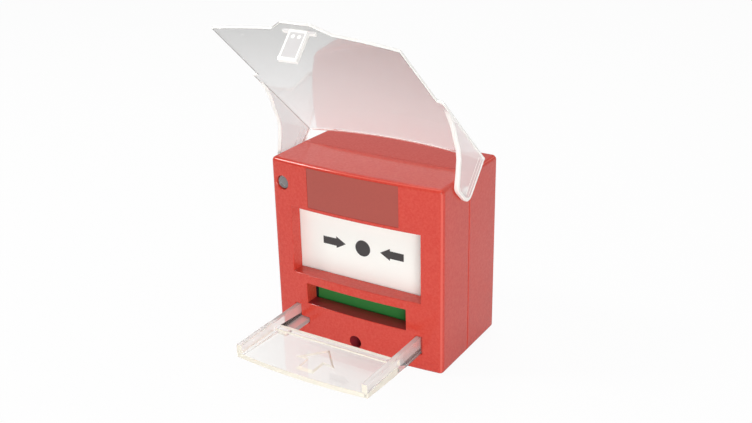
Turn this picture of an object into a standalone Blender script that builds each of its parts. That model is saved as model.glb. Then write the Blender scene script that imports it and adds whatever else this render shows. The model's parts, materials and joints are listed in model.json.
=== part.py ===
"""Manual call point with a clear lift-up lid, a press panel, a status flag and a two-prong reset key.

Every piece is placed in the housing's own frame: x to the right of the middle, depth y from the side
edges of the front face towards the wall, and height z from the underside. The frame empty carries
that frame so that the world's origin is the middle of the wall face. Lengths are in metres.
"""

import math

import bmesh
import bpy
from mathutils import Matrix, Vector

MM = 0.001

# Gaps and construction
FIT = 0.3 * MM  # gap between pieces that touch or slide
OVERCUT = 1.0 * MM  # how far a cutter runs past the face it cuts
STEP = 0.05 * MM  # keeps the faces of shapes that are fused off one plane
BOW_STEPS = 12
ROUND_SIDES = 24
SMALL_SIDES = 12

# Housing
BODY_WIDTH = 87.0 * MM
BODY_HEIGHT = 87.0 * MM
BODY_DEPTH = 50.0 * MM
FRONT_BOW = 2.5 * MM  # how far the middle of the front stands out past its side edges
SEAM_DEPTH = 24.5 * MM
COVER_WALL = 2.2 * MM
BOX_WALL = 2.2 * MM
BACK_WALL = 2.2 * MM
EDGE_ROUND = 1.4 * MM
BOX_DRAFT = 0.9 * MM  # fall of the box's top from the seam to the wall
BAND_START = 18.0 * MM  # a shallow band runs up each side of the cover from here to the seam
BAND_RECESS = 0.35 * MM
LIP_REACH = 2.5 * MM
LIP_WALL = 0.8 * MM

# Front openings
PRESS_WIDTH = 66.4 * MM
PRESS_RAIL_BELOW = 4.45 * MM  # left between the press opening and the flag's window
PRESS_RAIL_ABOVE = 1.85 * MM  # left between the press opening and the title plate
FLAG_WIDTH = 52.0 * MM
FLAG_HEIGHT = 10.0 * MM
FLAG_MIDDLE = 23.7 * MM
TUNNEL_WALL = 1.4 * MM
TUNNEL_END = 5.9 * MM
TITLE_WIDTH = 46.0 * MM
TITLE_HEIGHT = 18.2 * MM
TITLE_FROM_TOP = 10.8 * MM
TITLE_THICKNESS = 0.4 * MM
TITLE_SINK = 0.1 * MM
LENS_DIAMETER = 5.9 * MM
LENS_FROM_SIDE = 6.1 * MM
LENS_FROM_TOP = 11.3 * MM
LENS_SINK = 1.2 * MM
LENS_FLANGE = 7.2 * MM
LENS_FLANGE_THICKNESS = 1.2 * MM
LENS_STEM = 4.2 * MM

# Cover screw
COVER_SCREW_HEIGHT = 5.7 * MM
COVER_SCREW_HOLE = 6.0 * MM
COVER_SCREW_TUBE_WALL = 1.2 * MM
COVER_SCREW_SEAT = 10.4 * MM
COVER_SCREW_FLOOR = 1.6 * MM
COVER_SCREW_HEAD = 5.2 * MM
COVER_SCREW_HEAD_LENGTH = 2.4 * MM
COVER_SCREW_SHANK = 3.0 * MM
COVER_SCREW_GRIP = 10.0 * MM
COVER_SCREW_BOSS = 8.0 * MM
SLOT_DEPTH = 0.8 * MM
SLOT_WIDTH = 0.8 * MM

# Wall fixing and cable entry
FIXING_SPACING = 60.3 * MM
FIXING_SLOT_WIDTH = 4.4 * MM
FIXING_SLOT_LENGTH = 9.0 * MM
CABLE_HOLE = 20.0 * MM
CABLE_HOLE_HEIGHT = 23.0 * MM

# Clear lid, described shut
LID_ANGLE = 132.9  # degrees that the lid stands open
LID_THICKNESS = 1.9 * MM
LID_GAP = 0.9 * MM
LID_SIDE_GAP = 0.5 * MM
LID_EAR = 2.0 * MM
LID_PANEL_INSET = 2.8 * MM  # from the ears' outer faces to the side edges of the panel below them
LID_DROP = 2.3 * MM  # how far the free edge hangs below the housing
LID_PIN = 4.4 * MM
LID_PIN_DEPTH = 16.5 * MM
LID_PIN_FROM_TOP = 5.8 * MM
LID_EAR_LENGTH = 52.0 * MM  # down the panel's side
LID_EAR_EDGE = (  # mm: depth behind the front edges, and fall from the housing's top
    (15.5, 0.0),
    (16.8, 0.2),
    (17.8, 0.5),
    (18.9, 1.3),
    (19.7, 2.4),
    (20.2, 5.0),
    (20.2, 11.5),
    (20.0, 13.2),
    (19.4, 14.5),
    (18.2, 15.5),
    (13.5, 18.5),
    (9.2, 21.8),
    (6.7, 25.1),
    (4.8, 29.9),
    (2.1, 35.6),
    (0.4, 40.3),
    (-0.5, 43.3),
    (-0.85, 47.0),
)
LATCH_ARM_WIDTH = 9.0 * MM
LATCH_ARM_LENGTH = 11.8 * MM
LATCH_ARM_THICKNESS = 2.0 * MM
LATCH_WING_WIDTH = 17.0 * MM
LATCH_WING_LENGTH = 1.5 * MM
THUMB_TAB_REACH = 6.8 * MM
THUMB_TAB_WIDTH = 16.0 * MM
THUMB_TAB_ROOT = 27.0 * MM

# Reset key, as it stands in its slots
KEY_HALF = 33.4 * MM
KEY_FRONT = 45.0 * MM  # from the front edges of the housing to the key's front corners
KEY_FRONT_BOW = 2.0 * MM
KEY_PLATE_REAR = 17.0 * MM
KEY_PLATE_LOW = 10.4 * MM
KEY_PLATE = 2.4 * MM
KEY_BOTTOM = 8.3 * MM
KEY_WALL = 2.8 * MM
KEY_WALL_HEIGHT = 8.3 * MM
KEY_WALL_RISE = 12.0 * MM  # the walls' undersides rise from here to the front
KEY_FOOT = 7.5 * MM
KEY_FOOT_HEIGHT = 2.3 * MM
KEY_FOOT_START = 19.0 * MM
KEY_REACH = 18.0 * MM
KEY_LEDGE = 4.0 * MM
KEY_LEDGE_HEIGHT = 0.8 * MM
KEY_PUSH = 8.0 * MM
KEY_ARROW_TIP = 22.0 * MM
KEY_ARROW_BARB = 33.0 * MM
KEY_ARROW_TAIL = 41.0 * MM
KEY_ARROW_HALF = 10.0 * MM
KEY_ARROW_SHAFT_HALF = 4.0 * MM
KEY_ARROW_RELIEF = 0.5 * MM
KEY_ARROW_SWEEP = 0.5 * MM  # how far the barbs point back

# Press panel, its carriage and return springs
PANEL_THICKNESS = 2.0 * MM
CARRIAGE_THICKNESS = 1.4 * MM
CARRIAGE_INSET = 4.4 * MM
PRESS_TRAVEL = 4.0 * MM
POST_DIAMETER = 4.4 * MM
POST_SPREAD = 48.0 * MM
POST_ABOVE = 7.8 * MM  # above the middle of the press panel
POST_TAIL = 2.0 * MM
CATCH_WIDTH = 4.4 * MM
CATCH_BELOW = 8.2 * MM
CATCH_REACH = 15.0 * MM
FINGER_WIDTH = 3.0 * MM
FINGER_SPREAD = 16.0 * MM
SPRING_WIRE = 0.6 * MM
SPRING_TURNS = 4
SPRING_POINTS = 10

# Chassis behind the front cover
CHASSIS_FRONT = 18.0 * MM
CHASSIS_THICKNESS = 2.0 * MM
CHASSIS_LOW = 17.2 * MM
CHASSIS_SHOULDER = 19.0 * MM  # from the housing's top down to the wide part
CHASSIS_HEAD_TOP = 11.5 * MM
CHASSIS_HEAD_WIDTH = 64.0 * MM
CHASSIS_SIDE_GAP = 0.9 * MM
CHASSIS_SCREW_SHANK = 2.4 * MM
CHASSIS_SCREW_HEAD = 5.0 * MM
CHASSIS_SCREW_HEAD_LENGTH = 1.8 * MM
CHASSIS_SCREW_LENGTH = 9.0 * MM
CHASSIS_BOSS = 6.4 * MM
UPPER_BOSS_SPREAD = 56.0 * MM
UPPER_BOSS_FROM_TOP = 15.5 * MM
LOWER_BOSS_INSET = 6.1 * MM
LOWER_BOSS_HEIGHT = 24.0 * MM
BUSH_WALL = 1.6 * MM
BUSH_LENGTH = 2.6 * MM
SWITCH_WINDOW_WIDTH = 36.0 * MM
SWITCH_WINDOW_BELOW = 11.2 * MM
SWITCH_WINDOW_ABOVE = 14.3 * MM

# Status flag
FLAG_THICKNESS = 1.2 * MM
FLAG_GAP = 0.7 * MM  # between the end of its tunnel and the flag
FLAG_OVERLAP = 0.5 * MM
FLAG_SIDE_GAP = 0.6 * MM
FLAG_PIN = 2.0 * MM
FLAG_PIN_BEHIND = 0.6 * MM
FLAG_PIN_DROP = 1.1 * MM
FLAG_LUG = 2.2 * MM
CHEEK_THICKNESS = 2.4 * MM
BACKING_THICKNESS = 1.0 * MM
BACKING_OVERLAP = 1.6 * MM

# Circuit board and what it carries
BOARD_THICKNESS = 1.6 * MM
BOARD_BELOW = 11.2 * MM  # below the middle of the press panel
BOARD_FROM_TOP = 7.0 * MM
BOARD_SIDE_GAP = 1.3 * MM
STANDOFF = 5.2 * MM
STANDOFF_SPREAD = 60.0 * MM
STANDOFF_UNDER_BOSS = 5.3 * MM  # upper standoffs below the chassis's upper screws
STANDOFF_ABOVE_EDGE = 4.6 * MM  # lower standoffs above the board's lower edge
BOARD_SCREW_SHANK = 1.6 * MM
BOARD_SCREW_HEAD = 4.2 * MM
BOARD_SCREW_HEAD_LENGTH = 1.5 * MM
BOARD_SCREW_LENGTH = 6.0 * MM
TERMINAL_COUNT = 6
TERMINAL_PITCH = 5.08 * MM
TERMINAL_DEPTH = 8.0 * MM
TERMINAL_HEIGHT = 8.4 * MM
TERMINAL_ABOVE = 1.0 * MM  # above the board's lower edge
TERMINAL_BACK_GAP = 1.9 * MM
TERMINAL_WELL = 3.8 * MM
TERMINAL_WELL_DEPTH = 4.2 * MM
TERMINAL_SCREW_LENGTH = 2.4 * MM
WIRE_ENTRY = 3.2 * MM
WIRE_ENTRY_DEPTH = 5.0 * MM
BUZZER_DIAMETER = 14.0 * MM
BUZZER_DEPTH = 6.8 * MM
BUZZER_SIDE = 16.0 * MM
BUZZER_PORT = 2.4 * MM
LED_DIAMETER = 3.0 * MM
LED_LENGTH = 2.4 * MM

# Microswitches with levers and plungers
SWITCH_SPREAD = 23.6 * MM
SWITCH_WIDTH = 5.8 * MM
SWITCH_DEPTH = 6.5 * MM
SWITCH_HEIGHT = 12.8 * MM
LEVER_HINGE_ABOVE = 11.2 * MM  # above the middle of the press panel
LEVER_HINGE_ROUND = 1.2 * MM
LEVER_HINGE_INSET = 1.0 * MM
LEVER_THICKNESS = 0.6 * MM
LEVER_WIDTH = 4.2 * MM
LEVER_ARM = 13.0 * MM  # from the hinge to where the carriage pushes
LEVER_TAIL = 1.5 * MM
PLUNGER_ARM = 4.6 * MM
PLUNGER_DIAMETER = 2.0 * MM
PLUNGER_GRIP = 2.0 * MM
ACTUATOR_DIAMETER = 3.4 * MM

# Reset latch and its springs
LATCH_PUSH_GAP = 0.4 * MM  # left to the prongs when the key is fully in
LATCH_THICKNESS = 2.2 * MM
LATCH_BAR_LOW = 11.0 * MM
LATCH_BAR_HIGH = 16.0 * MM
LATCH_STEM_WIDTH = 6.0 * MM
PEG_DIAMETER = 3.0 * MM
PEG_SPREAD = 36.0 * MM
PEG_TIP = 0.8 * MM
PEG_COLLAR = 6.8 * MM
LATCH_SPRING_LENGTH = 9.4 * MM
LATCH_SPRING_TURNS = 5

# Worked out from the sizes above
HALF_WIDTH = BODY_WIDTH / 2
INNER_HALF = HALF_WIDTH - COVER_WALL
TITLE_LOW = BODY_HEIGHT - TITLE_FROM_TOP - TITLE_HEIGHT / 2
PRESS_LOW = FLAG_MIDDLE + FLAG_HEIGHT / 2 + PRESS_RAIL_BELOW
PRESS_HEIGHT = TITLE_LOW - PRESS_RAIL_ABOVE - PRESS_LOW
PRESS_MIDDLE = PRESS_LOW + PRESS_HEIGHT / 2
UPPER_BOSS_HEIGHT = BODY_HEIGHT - UPPER_BOSS_FROM_TOP
UPPER_STANDOFF_HEIGHT = UPPER_BOSS_HEIGHT - STANDOFF_UNDER_BOSS
BOARD_LOW = PRESS_MIDDLE - BOARD_BELOW
LEVER_HINGE_HEIGHT = PRESS_MIDDLE + LEVER_HINGE_ABOVE
BOW_RADIUS = (HALF_WIDTH**2 + FRONT_BOW**2) / (2 * FRONT_BOW)
BOX_FRONT = SEAM_DEPTH + FIT
BACK_INSIDE = BODY_DEPTH - BACK_WALL
REBATE = BOX_WALL - LIP_WALL - FIT
CHASSIS_BACK = CHASSIS_FRONT + CHASSIS_THICKNESS
PANEL_FRONT = TUNNEL_END + FIT
CARRIAGE_FRONT = PANEL_FRONT + PANEL_THICKNESS + FIT
CARRIAGE_BACK = CARRIAGE_FRONT + CARRIAGE_THICKNESS
BOARD_BACK = BACK_INSIDE - TERMINAL_BACK_GAP - TERMINAL_DEPTH - FIT
BOARD_FRONT = BOARD_BACK - BOARD_THICKNESS
SWITCH_BACK = BOARD_FRONT - FIT
SWITCH_FRONT = SWITCH_BACK - SWITCH_DEPTH
SWITCH_TOP = LEVER_HINGE_HEIGHT + LEVER_HINGE_INSET
LEVER_HINGE_DEPTH = SWITCH_FRONT - FIT - LEVER_HINGE_ROUND / 2
LEVER_SWING = math.asin(PRESS_TRAVEL / LEVER_ARM)
LEVER_BACK = LEVER_HINGE_DEPTH + LEVER_THICKNESS / 2 + FIT
PLUNGER_TRAVEL = (PLUNGER_ARM - PLUNGER_DIAMETER / 2) * math.tan(LEVER_SWING)
PLUNGER_TIP = LEVER_BACK - PLUNGER_TRAVEL
LEVER_TIP = LEVER_HINGE_DEPTH - (LEVER_ARM + LEVER_TAIL) * math.sin(LEVER_SWING)
ACTUATOR_END = LEVER_TIP - LEVER_THICKNESS / 2 - FIT
ACTUATOR_HEIGHT = LEVER_HINGE_HEIGHT - LEVER_ARM
LENS_X = -(HALF_WIDTH - LENS_FROM_SIDE)
LENS_HEIGHT = BODY_HEIGHT - LENS_FROM_TOP
LID_PIN_HEIGHT = BODY_HEIGHT - LID_PIN_FROM_TOP
EAR_INSIDE = HALF_WIDTH + LID_SIDE_GAP
EAR_OUTSIDE = EAR_INSIDE + LID_EAR
FLAG_FRONT = TUNNEL_END + FLAG_GAP
FLAG_LOW = FLAG_MIDDLE - FLAG_HEIGHT / 2 - FLAG_OVERLAP
FLAG_HIGH = FLAG_MIDDLE + FLAG_HEIGHT / 2 + FLAG_OVERLAP
FLAG_HALF = FLAG_WIDTH / 2 - FLAG_SIDE_GAP
FLAG_PIN_DEPTH = FLAG_FRONT + FLAG_THICKNESS + FLAG_PIN_BEHIND
FLAG_PIN_HEIGHT = FLAG_LOW - FLAG_PIN_DROP + FLAG_PIN / 2
CHEEK_INSIDE = FLAG_WIDTH / 2
CHEEK_OUTSIDE = CHEEK_INSIDE + CHEEK_THICKNESS
KEY_TOP = KEY_BOTTOM + KEY_WALL_HEIGHT
KEY_PLATE_TOP = KEY_PLATE_LOW + KEY_PLATE
KEY_FOOT_TOP = KEY_BOTTOM + KEY_FOOT_HEIGHT
LATCH_FRONT = KEY_REACH + KEY_PUSH + LATCH_PUSH_GAP
LATCH_BACK = LATCH_FRONT + LATCH_THICKNESS
LATCH_HEIGHT = (LATCH_BAR_LOW + LATCH_BAR_HIGH) / 2
CATCH_LOW = PRESS_MIDDLE - CATCH_BELOW - CATCH_WIDTH / 2


def new_collection(name):
    """A collection of this name under the scene's own."""
    collection = bpy.data.collections.new(name)
    bpy.context.scene.collection.children.link(collection)
    return collection


def new_empty(name, parent=None, location=(0, 0, 0), tilt=0.0):
    """An empty that carries a frame, turned about x by tilt."""
    empty = bpy.data.objects.new(name, None)
    PARTS.objects.link(empty)
    empty.parent = parent
    empty.location = location
    empty.rotation_euler.x = tilt
    return empty


def tool(mesh, frame=None):
    """A mesh as a hidden helper in the given frame, until it is made a piece."""
    item = bpy.data.objects.new("helper", mesh)
    CUTTERS.objects.link(item)
    item.parent = frame or FRAME
    item.hide_render = True
    item.display_type = "WIRE"
    return item


def block(low, high, frame=None):
    """A box between two corners."""
    size = [b - a for a, b in zip(low, high)]
    middle = [(a + b) / 2 for a, b in zip(low, high)]
    shape = bmesh.new()
    bmesh.ops.create_cube(shape, size=1.0)
    place = Matrix.Translation(middle) @ Matrix.Diagonal((*size, 1))
    bmesh.ops.transform(shape, matrix=place, verts=shape.verts)
    mesh = bpy.data.meshes.new("block")
    shape.to_mesh(mesh)
    shape.free()
    return tool(mesh, frame)


def rod(start, end, diameter, sides=ROUND_SIDES, frame=None):
    """A round bar from one point to another."""
    start = Vector(start)
    along = Vector(end) - start
    place = Matrix.Translation(start + along / 2) @ along.to_track_quat("Z", "Y").to_matrix().to_4x4()
    shape = bmesh.new()
    bmesh.ops.create_cone(
        shape,
        cap_ends=True,
        segments=sides,
        radius1=diameter / 2,
        radius2=diameter / 2,
        depth=along.length,
        matrix=place,
    )
    mesh = bpy.data.meshes.new("rod")
    shape.to_mesh(mesh)
    shape.free()
    return tool(mesh, frame)


AXIS_TURN = {
    "X": Matrix(((0, 0, 1), (1, 0, 0), (0, 1, 0))).to_4x4(),
    "Y": Matrix(((1, 0, 0), (0, 0, -1), (0, 1, 0))).to_4x4(),
    "Z": Matrix.Identity(4),
}


def slab(outline, axis, low, high, frame=None):
    """A flat outline, given in the other two axes, drawn out along an axis from low to high."""
    curve = bpy.data.curves.new("outline", "CURVE")
    curve.dimensions = "2D"
    curve.fill_mode = "BOTH"
    curve.extrude = (high - low) / 2
    spline = curve.splines.new("POLY")
    spline.points.add(len(outline) - 1)
    for point, (u, v) in zip(spline.points, outline):
        point.co = (u, v, 0, 1)
    spline.use_cyclic_u = True
    drawn = bpy.data.objects.new("outline", curve)
    bpy.context.scene.collection.objects.link(drawn)
    middle = {"XYZ".index(axis): (low + high) / 2}
    drawn.matrix_world = Matrix.Translation([middle.get(i, 0) for i in range(3)]) @ AXIS_TURN[axis]
    bpy.context.view_layer.update()
    mesh = bpy.data.meshes.new_from_object(drawn.evaluated_get(bpy.context.evaluated_depsgraph_get()))
    mesh.transform(drawn.matrix_world)
    bpy.data.objects.remove(drawn)
    shape = bmesh.new()
    shape.from_mesh(mesh)
    bmesh.ops.remove_doubles(shape, verts=shape.verts, dist=0.001 * MM)
    bmesh.ops.recalc_face_normals(shape, faces=shape.faces)
    shape.to_mesh(mesh)
    shape.free()
    return tool(mesh, frame)


def turned(profile, start, direction):
    """A turned piece: (radius, distance) pairs from one end on the axis to the other."""
    mesh = bpy.data.meshes.new("profile")
    shape = bmesh.new()
    points = [shape.verts.new((radius, 0, -distance)) for radius, distance in profile]
    for first, second in zip(points, points[1:]):
        shape.edges.new((first, second))
    shape.to_mesh(mesh)
    shape.free()
    item = tool(mesh)
    item.location = start
    item.rotation_euler = (-Vector(direction)).to_track_quat("Z", "Y").to_euler()
    screw = item.modifiers.new("turn", "SCREW")
    screw.steps = ROUND_SIDES
    screw.render_steps = ROUND_SIDES
    screw.use_merge_vertices = True
    screw.merge_threshold = 0.001 * MM
    return item


def join(item, *others):
    """Fuses others into item."""
    for other in others:
        fuse = item.modifiers.new("join", "BOOLEAN")
        fuse.operation = "UNION"
        fuse.object = other
    return item


def cut(item, *others):
    """Takes others out of item."""
    for other in others:
        take = item.modifiers.new("cut", "BOOLEAN")
        take.operation = "DIFFERENCE"
        take.object = other
    return item


def round_edges(item, radius, segments, chosen):
    """Rounds the edges whose two end points pass the test."""
    weights = item.data.attributes.new("bevel_weight_edge", "FLOAT", "EDGE")
    for edge in item.data.edges:
        ends = [item.data.vertices[i].co for i in edge.vertices]
        weights.data[edge.index].value = float(chosen(*ends))
    bevel = item.modifiers.new("round", "BEVEL")
    bevel.limit_method = "WEIGHT"
    bevel.width = radius
    bevel.segments = segments
    bevel.use_clamp_overlap = True
    return item


def sharp_turn(item, least=math.radians(40)):
    """Tells whether an edge of item, given by its end points, is a corner and not a step of a curve."""
    shape = bmesh.new()
    shape.from_mesh(item.data)
    corners = set()
    for edge in shape.edges:
        if edge.calc_face_angle(0) > least:
            corners.add(frozenset(vert.co.to_tuple(7) for vert in edge.verts))
    shape.free()
    return lambda a, b: frozenset((a.to_tuple(7), b.to_tuple(7))) in corners


def paint(name, colour, roughness, metallic=0.0, transmission=0.0):
    """A plain material."""
    material = bpy.data.materials.new(name)
    material.use_nodes = True
    shader = material.node_tree.nodes["Principled BSDF"]
    shader.inputs["Base Color"].default_value = (*colour, 1)
    shader.inputs["Roughness"].default_value = roughness
    shader.inputs["Metallic"].default_value = metallic
    shader.inputs["Transmission Weight"].default_value = transmission
    return material


def piece(name, item, material, origin=None):
    """Makes a helper a named piece of the call point, with its origin at a point of its frame."""
    CUTTERS.objects.unlink(item)
    PARTS.objects.link(item)
    item.name = name
    item.hide_render = False
    item.display_type = "TEXTURED"
    item.data.materials.clear()
    item.data.materials.append(material)
    if origin is not None:
        item.data.transform(Matrix.Translation(-Vector(origin)))
        item.location = origin
    return item


def front_depth(x):
    """Depth of the bowed front at x: nothing at the side edges, least in the middle."""
    return BOW_RADIUS - FRONT_BOW - math.sqrt(BOW_RADIUS**2 - x**2)


def bow_points(half, offset):
    """Points along the bow from -half to half, moved in by offset."""
    steps = [half * (2 * i / BOW_STEPS - 1) for i in range(BOW_STEPS + 1)]
    return [(x, front_depth(x) + offset) for x in steps]


def bowed_block(half, offset, back, low, high):
    """A block with the front's bow on one side, flat at the back."""
    return slab([*bow_points(half, offset), (half, back), (-half, back)], "Z", low, high)


def bowed_sheet(half, front, back, low, high, frame=None):
    """A sheet that follows the bow between two offsets from the front."""
    outline = bow_points(half, front) + bow_points(half, back)[::-1]
    return slab(outline, "Z", low, high, frame)


def stadium(middle, length, width):
    """A slot outline with round ends, along its first axis."""
    outline = []
    for side in (1, -1):
        for i in range(SMALL_SIDES // 2 + 1):
            turn = math.pi * (i / (SMALL_SIDES // 2) - 0.5) + (0 if side > 0 else math.pi)
            u = middle[0] + side * (length - width) / 2 + width / 2 * math.cos(turn)
            outline.append((u, middle[1] + width / 2 * math.sin(turn)))
    return outline


def across(half, y, z, diameter, sides=ROUND_SIDES, frame=None):
    """A round bar along x, from -half to half."""
    return rod((-half, y, z), (half, y, z), diameter, sides, frame)


def boss_places():
    """Where the chassis is screwed to the front cover."""
    lower = INNER_HALF + COVER_WALL - LOWER_BOSS_INSET
    places = [(side * UPPER_BOSS_SPREAD / 2, UPPER_BOSS_HEIGHT) for side in (-1, 1)]
    return places + [(side * lower, LOWER_BOSS_HEIGHT) for side in (-1, 1)]


def standoff_places():
    """Where the circuit board is screwed to the chassis."""
    heights = (UPPER_STANDOFF_HEIGHT, BOARD_LOW + STANDOFF_ABOVE_EDGE)
    return [(side * STANDOFF_SPREAD / 2, z) for z in heights for side in (-1, 1)]


def window(width, height, middle, wall=0.0):
    """A straight block through the front, as wide as an opening, with its walls if given."""
    half = width / 2 + wall
    low = middle - height / 2 - wall
    high = middle + height / 2 + wall
    if wall:
        return bowed_block(half, COVER_WALL / 2, TUNNEL_END, low, high)
    return block((-half, -FRONT_BOW - OVERCUT, low), (half, TUNNEL_END + OVERCUT, high))


def key_slots():
    """L-shaped cutters for the key's two prongs."""
    front, back = -FRONT_BOW - OVERCUT, SEAM_DEPTH - LIP_REACH
    low, high = KEY_BOTTOM - FIT, KEY_TOP + FIT
    outer = KEY_HALF + FIT
    cutters = []
    for side in (-1, 1):
        leg = sorted((side * (KEY_HALF - KEY_WALL - FIT), side * outer))
        foot = sorted((side * (KEY_HALF - KEY_FOOT - FIT), side * (outer - FIT)))
        cutters.append(block((leg[0], front, low), (leg[1], back, high)))
        cutters.append(block((foot[0], front, low), (foot[1], back, KEY_FOOT_TOP + FIT)))
    return cutters


def front_cover():
    """The bowed front shell with its windows, slots, screw tube and chassis bosses."""
    cover = bowed_block(HALF_WIDTH, 0, SEAM_DEPTH, 0, BODY_HEIGHT)
    corner = sharp_turn(cover)
    rim = SEAM_DEPTH - OVERCUT
    round_edges(cover, EDGE_ROUND, 3, lambda a, b: corner(a, b) and min(a.y, b.y) < rim)
    ceiling = BODY_HEIGHT - COVER_WALL
    cut(cover, bowed_block(INNER_HALF, COVER_WALL, SEAM_DEPTH + OVERCUT, COVER_WALL, ceiling))
    tube_end = COVER_SCREW_SEAT + COVER_SCREW_FLOOR
    tube = COVER_SCREW_HOLE + 2 * COVER_SCREW_TUBE_WALL
    inside_wall = COVER_WALL / 2 - FRONT_BOW
    join(cover, window(PRESS_WIDTH, PRESS_HEIGHT, PRESS_MIDDLE, TUNNEL_WALL))
    join(cover, window(FLAG_WIDTH, FLAG_HEIGHT, FLAG_MIDDLE, TUNNEL_WALL))
    join(cover, rod((0, inside_wall, COVER_SCREW_HEIGHT), (0, tube_end, COVER_SCREW_HEIGHT), tube))
    for x, z in boss_places():
        start = front_depth(x) + COVER_WALL / 2
        join(cover, rod((x, start, z), (x, CHASSIS_FRONT - FIT, z), CHASSIS_BOSS, SMALL_SIDES))
    for x, z in boss_places():
        pilot_end = CHASSIS_BACK - CHASSIS_SCREW_LENGTH - OVERCUT
        bore = CHASSIS_SCREW_SHANK + 2 * FIT
        cut(cover, rod((x, pilot_end, z), (x, CHASSIS_FRONT + OVERCUT, z), bore, SMALL_SIDES))
    cut(cover, window(PRESS_WIDTH, PRESS_HEIGHT, PRESS_MIDDLE), window(FLAG_WIDTH, FLAG_HEIGHT, FLAG_MIDDLE))
    cut(cover, *key_slots())
    out = -FRONT_BOW - OVERCUT
    shank_hole = COVER_SCREW_SHANK + 2 * FIT
    seat = (0, COVER_SCREW_SEAT, COVER_SCREW_HEIGHT)
    cut(cover, rod((0, out, COVER_SCREW_HEIGHT), seat, COVER_SCREW_HOLE))
    cut(cover, rod(seat, (0, tube_end + OVERCUT, COVER_SCREW_HEIGHT), shank_hole, SMALL_SIDES))
    lens_hole = LENS_DIAMETER + 2 * FIT
    cut(cover, rod((LENS_X, out, LENS_HEIGHT), (LENS_X, COVER_WALL + OVERCUT, LENS_HEIGHT), lens_hole))
    cut(cover, across(HALF_WIDTH + OVERCUT, LID_PIN_DEPTH, LID_PIN_HEIGHT, LID_PIN + 2 * FIT))
    recess = TITLE_SINK + TITLE_THICKNESS + FIT
    title_low = TITLE_LOW - FIT
    title_high = TITLE_LOW + TITLE_HEIGHT + FIT
    cut(cover, bowed_sheet(TITLE_WIDTH / 2 + FIT, -OVERCUT, recess, title_low, title_high))
    for side in (-1, 1):
        band = sorted((side * (HALF_WIDTH - BAND_RECESS), side * (HALF_WIDTH + OVERCUT)))
        low = (band[0], BAND_START, -OVERCUT)
        cut(cover, block(low, (band[1], SEAM_DEPTH + OVERCUT, BODY_HEIGHT + OVERCUT)))
    rebate_half = HALF_WIDTH - REBATE
    low = (-rebate_half, SEAM_DEPTH - LIP_REACH - FIT, REBATE)
    cut(cover, block(low, (rebate_half, SEAM_DEPTH + OVERCUT, BODY_HEIGHT - REBATE)))
    return piece("front_cover", cover, RED)


def peg_places():
    """Where the latch's guide pegs stand on the back wall."""
    return [(side * PEG_SPREAD / 2, LATCH_HEIGHT) for side in (-1, 1)]


def back_box():
    """The box on the wall: a lip for the cover, screw boss, latch pegs, cable hole and fixing slots."""
    box = block((-HALF_WIDTH, BOX_FRONT, 0), (HALF_WIDTH, BODY_DEPTH, BODY_HEIGHT))
    for vertex in box.data.vertices:
        if vertex.co.z > BODY_HEIGHT / 2 and vertex.co.y > SEAM_DEPTH + BODY_DEPTH / 4:
            vertex.co.z -= BOX_DRAFT
    round_edges(box, EDGE_ROUND, 3, lambda a, b: abs(a.y - b.y) > BODY_DEPTH / 4)
    lip_half = HALF_WIDTH - REBATE - FIT
    lip_low = (-lip_half, SEAM_DEPTH - LIP_REACH, REBATE + FIT)
    join(box, block(lip_low, (lip_half, BOX_FRONT + OVERCUT, BODY_HEIGHT - REBATE - FIT)))
    inside = HALF_WIDTH - BOX_WALL
    ceiling = BODY_HEIGHT - BOX_WALL - BOX_DRAFT
    cut(box, block((-inside, SEAM_DEPTH - LIP_REACH - OVERCUT, BOX_WALL), (inside, BACK_INSIDE, ceiling)))
    back = BACK_INSIDE + BACK_WALL / 2
    boss_start = (0, BOX_FRONT, COVER_SCREW_HEIGHT)
    join(box, rod(boss_start, (0, back, COVER_SCREW_HEIGHT), COVER_SCREW_BOSS))
    collar_start = LATCH_BACK + 2 * FIT + LATCH_SPRING_LENGTH
    for x, z in peg_places():
        join(box, rod((x, collar_start, z), (x, back, z), PEG_COLLAR, SMALL_SIDES))
        tip = (x, LATCH_FRONT - PEG_TIP, z)
        join(box, rod(tip, (x, collar_start + OVERCUT, z), PEG_DIAMETER, SMALL_SIDES))
    bore_end = BOX_FRONT + COVER_SCREW_GRIP + OVERCUT
    bore = COVER_SCREW_SHANK + 2 * FIT
    cut(box, rod((0, SEAM_DEPTH, COVER_SCREW_HEIGHT), (0, bore_end, COVER_SCREW_HEIGHT), bore, SMALL_SIDES))
    hole_start = (0, BACK_INSIDE - OVERCUT, CABLE_HOLE_HEIGHT)
    cut(box, rod(hole_start, (0, BODY_DEPTH + OVERCUT, CABLE_HOLE_HEIGHT), CABLE_HOLE))
    for side in (-1, 1):
        middle = (side * FIXING_SPACING / 2, BODY_HEIGHT / 2)
        outline = stadium(middle, FIXING_SLOT_LENGTH, FIXING_SLOT_WIDTH)
        cut(box, slab(outline, "Y", BACK_INSIDE - OVERCUT, BODY_DEPTH + OVERCUT))
    return piece("back_box", box, RED)


def title_plate():
    """The thin plate let into the front above the press panel."""
    back = TITLE_SINK + TITLE_THICKNESS
    plate = bowed_sheet(TITLE_WIDTH / 2, TITLE_SINK, back, TITLE_LOW, TITLE_LOW + TITLE_HEIGHT)
    return piece("title_plate", plate, BROWN)


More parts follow.
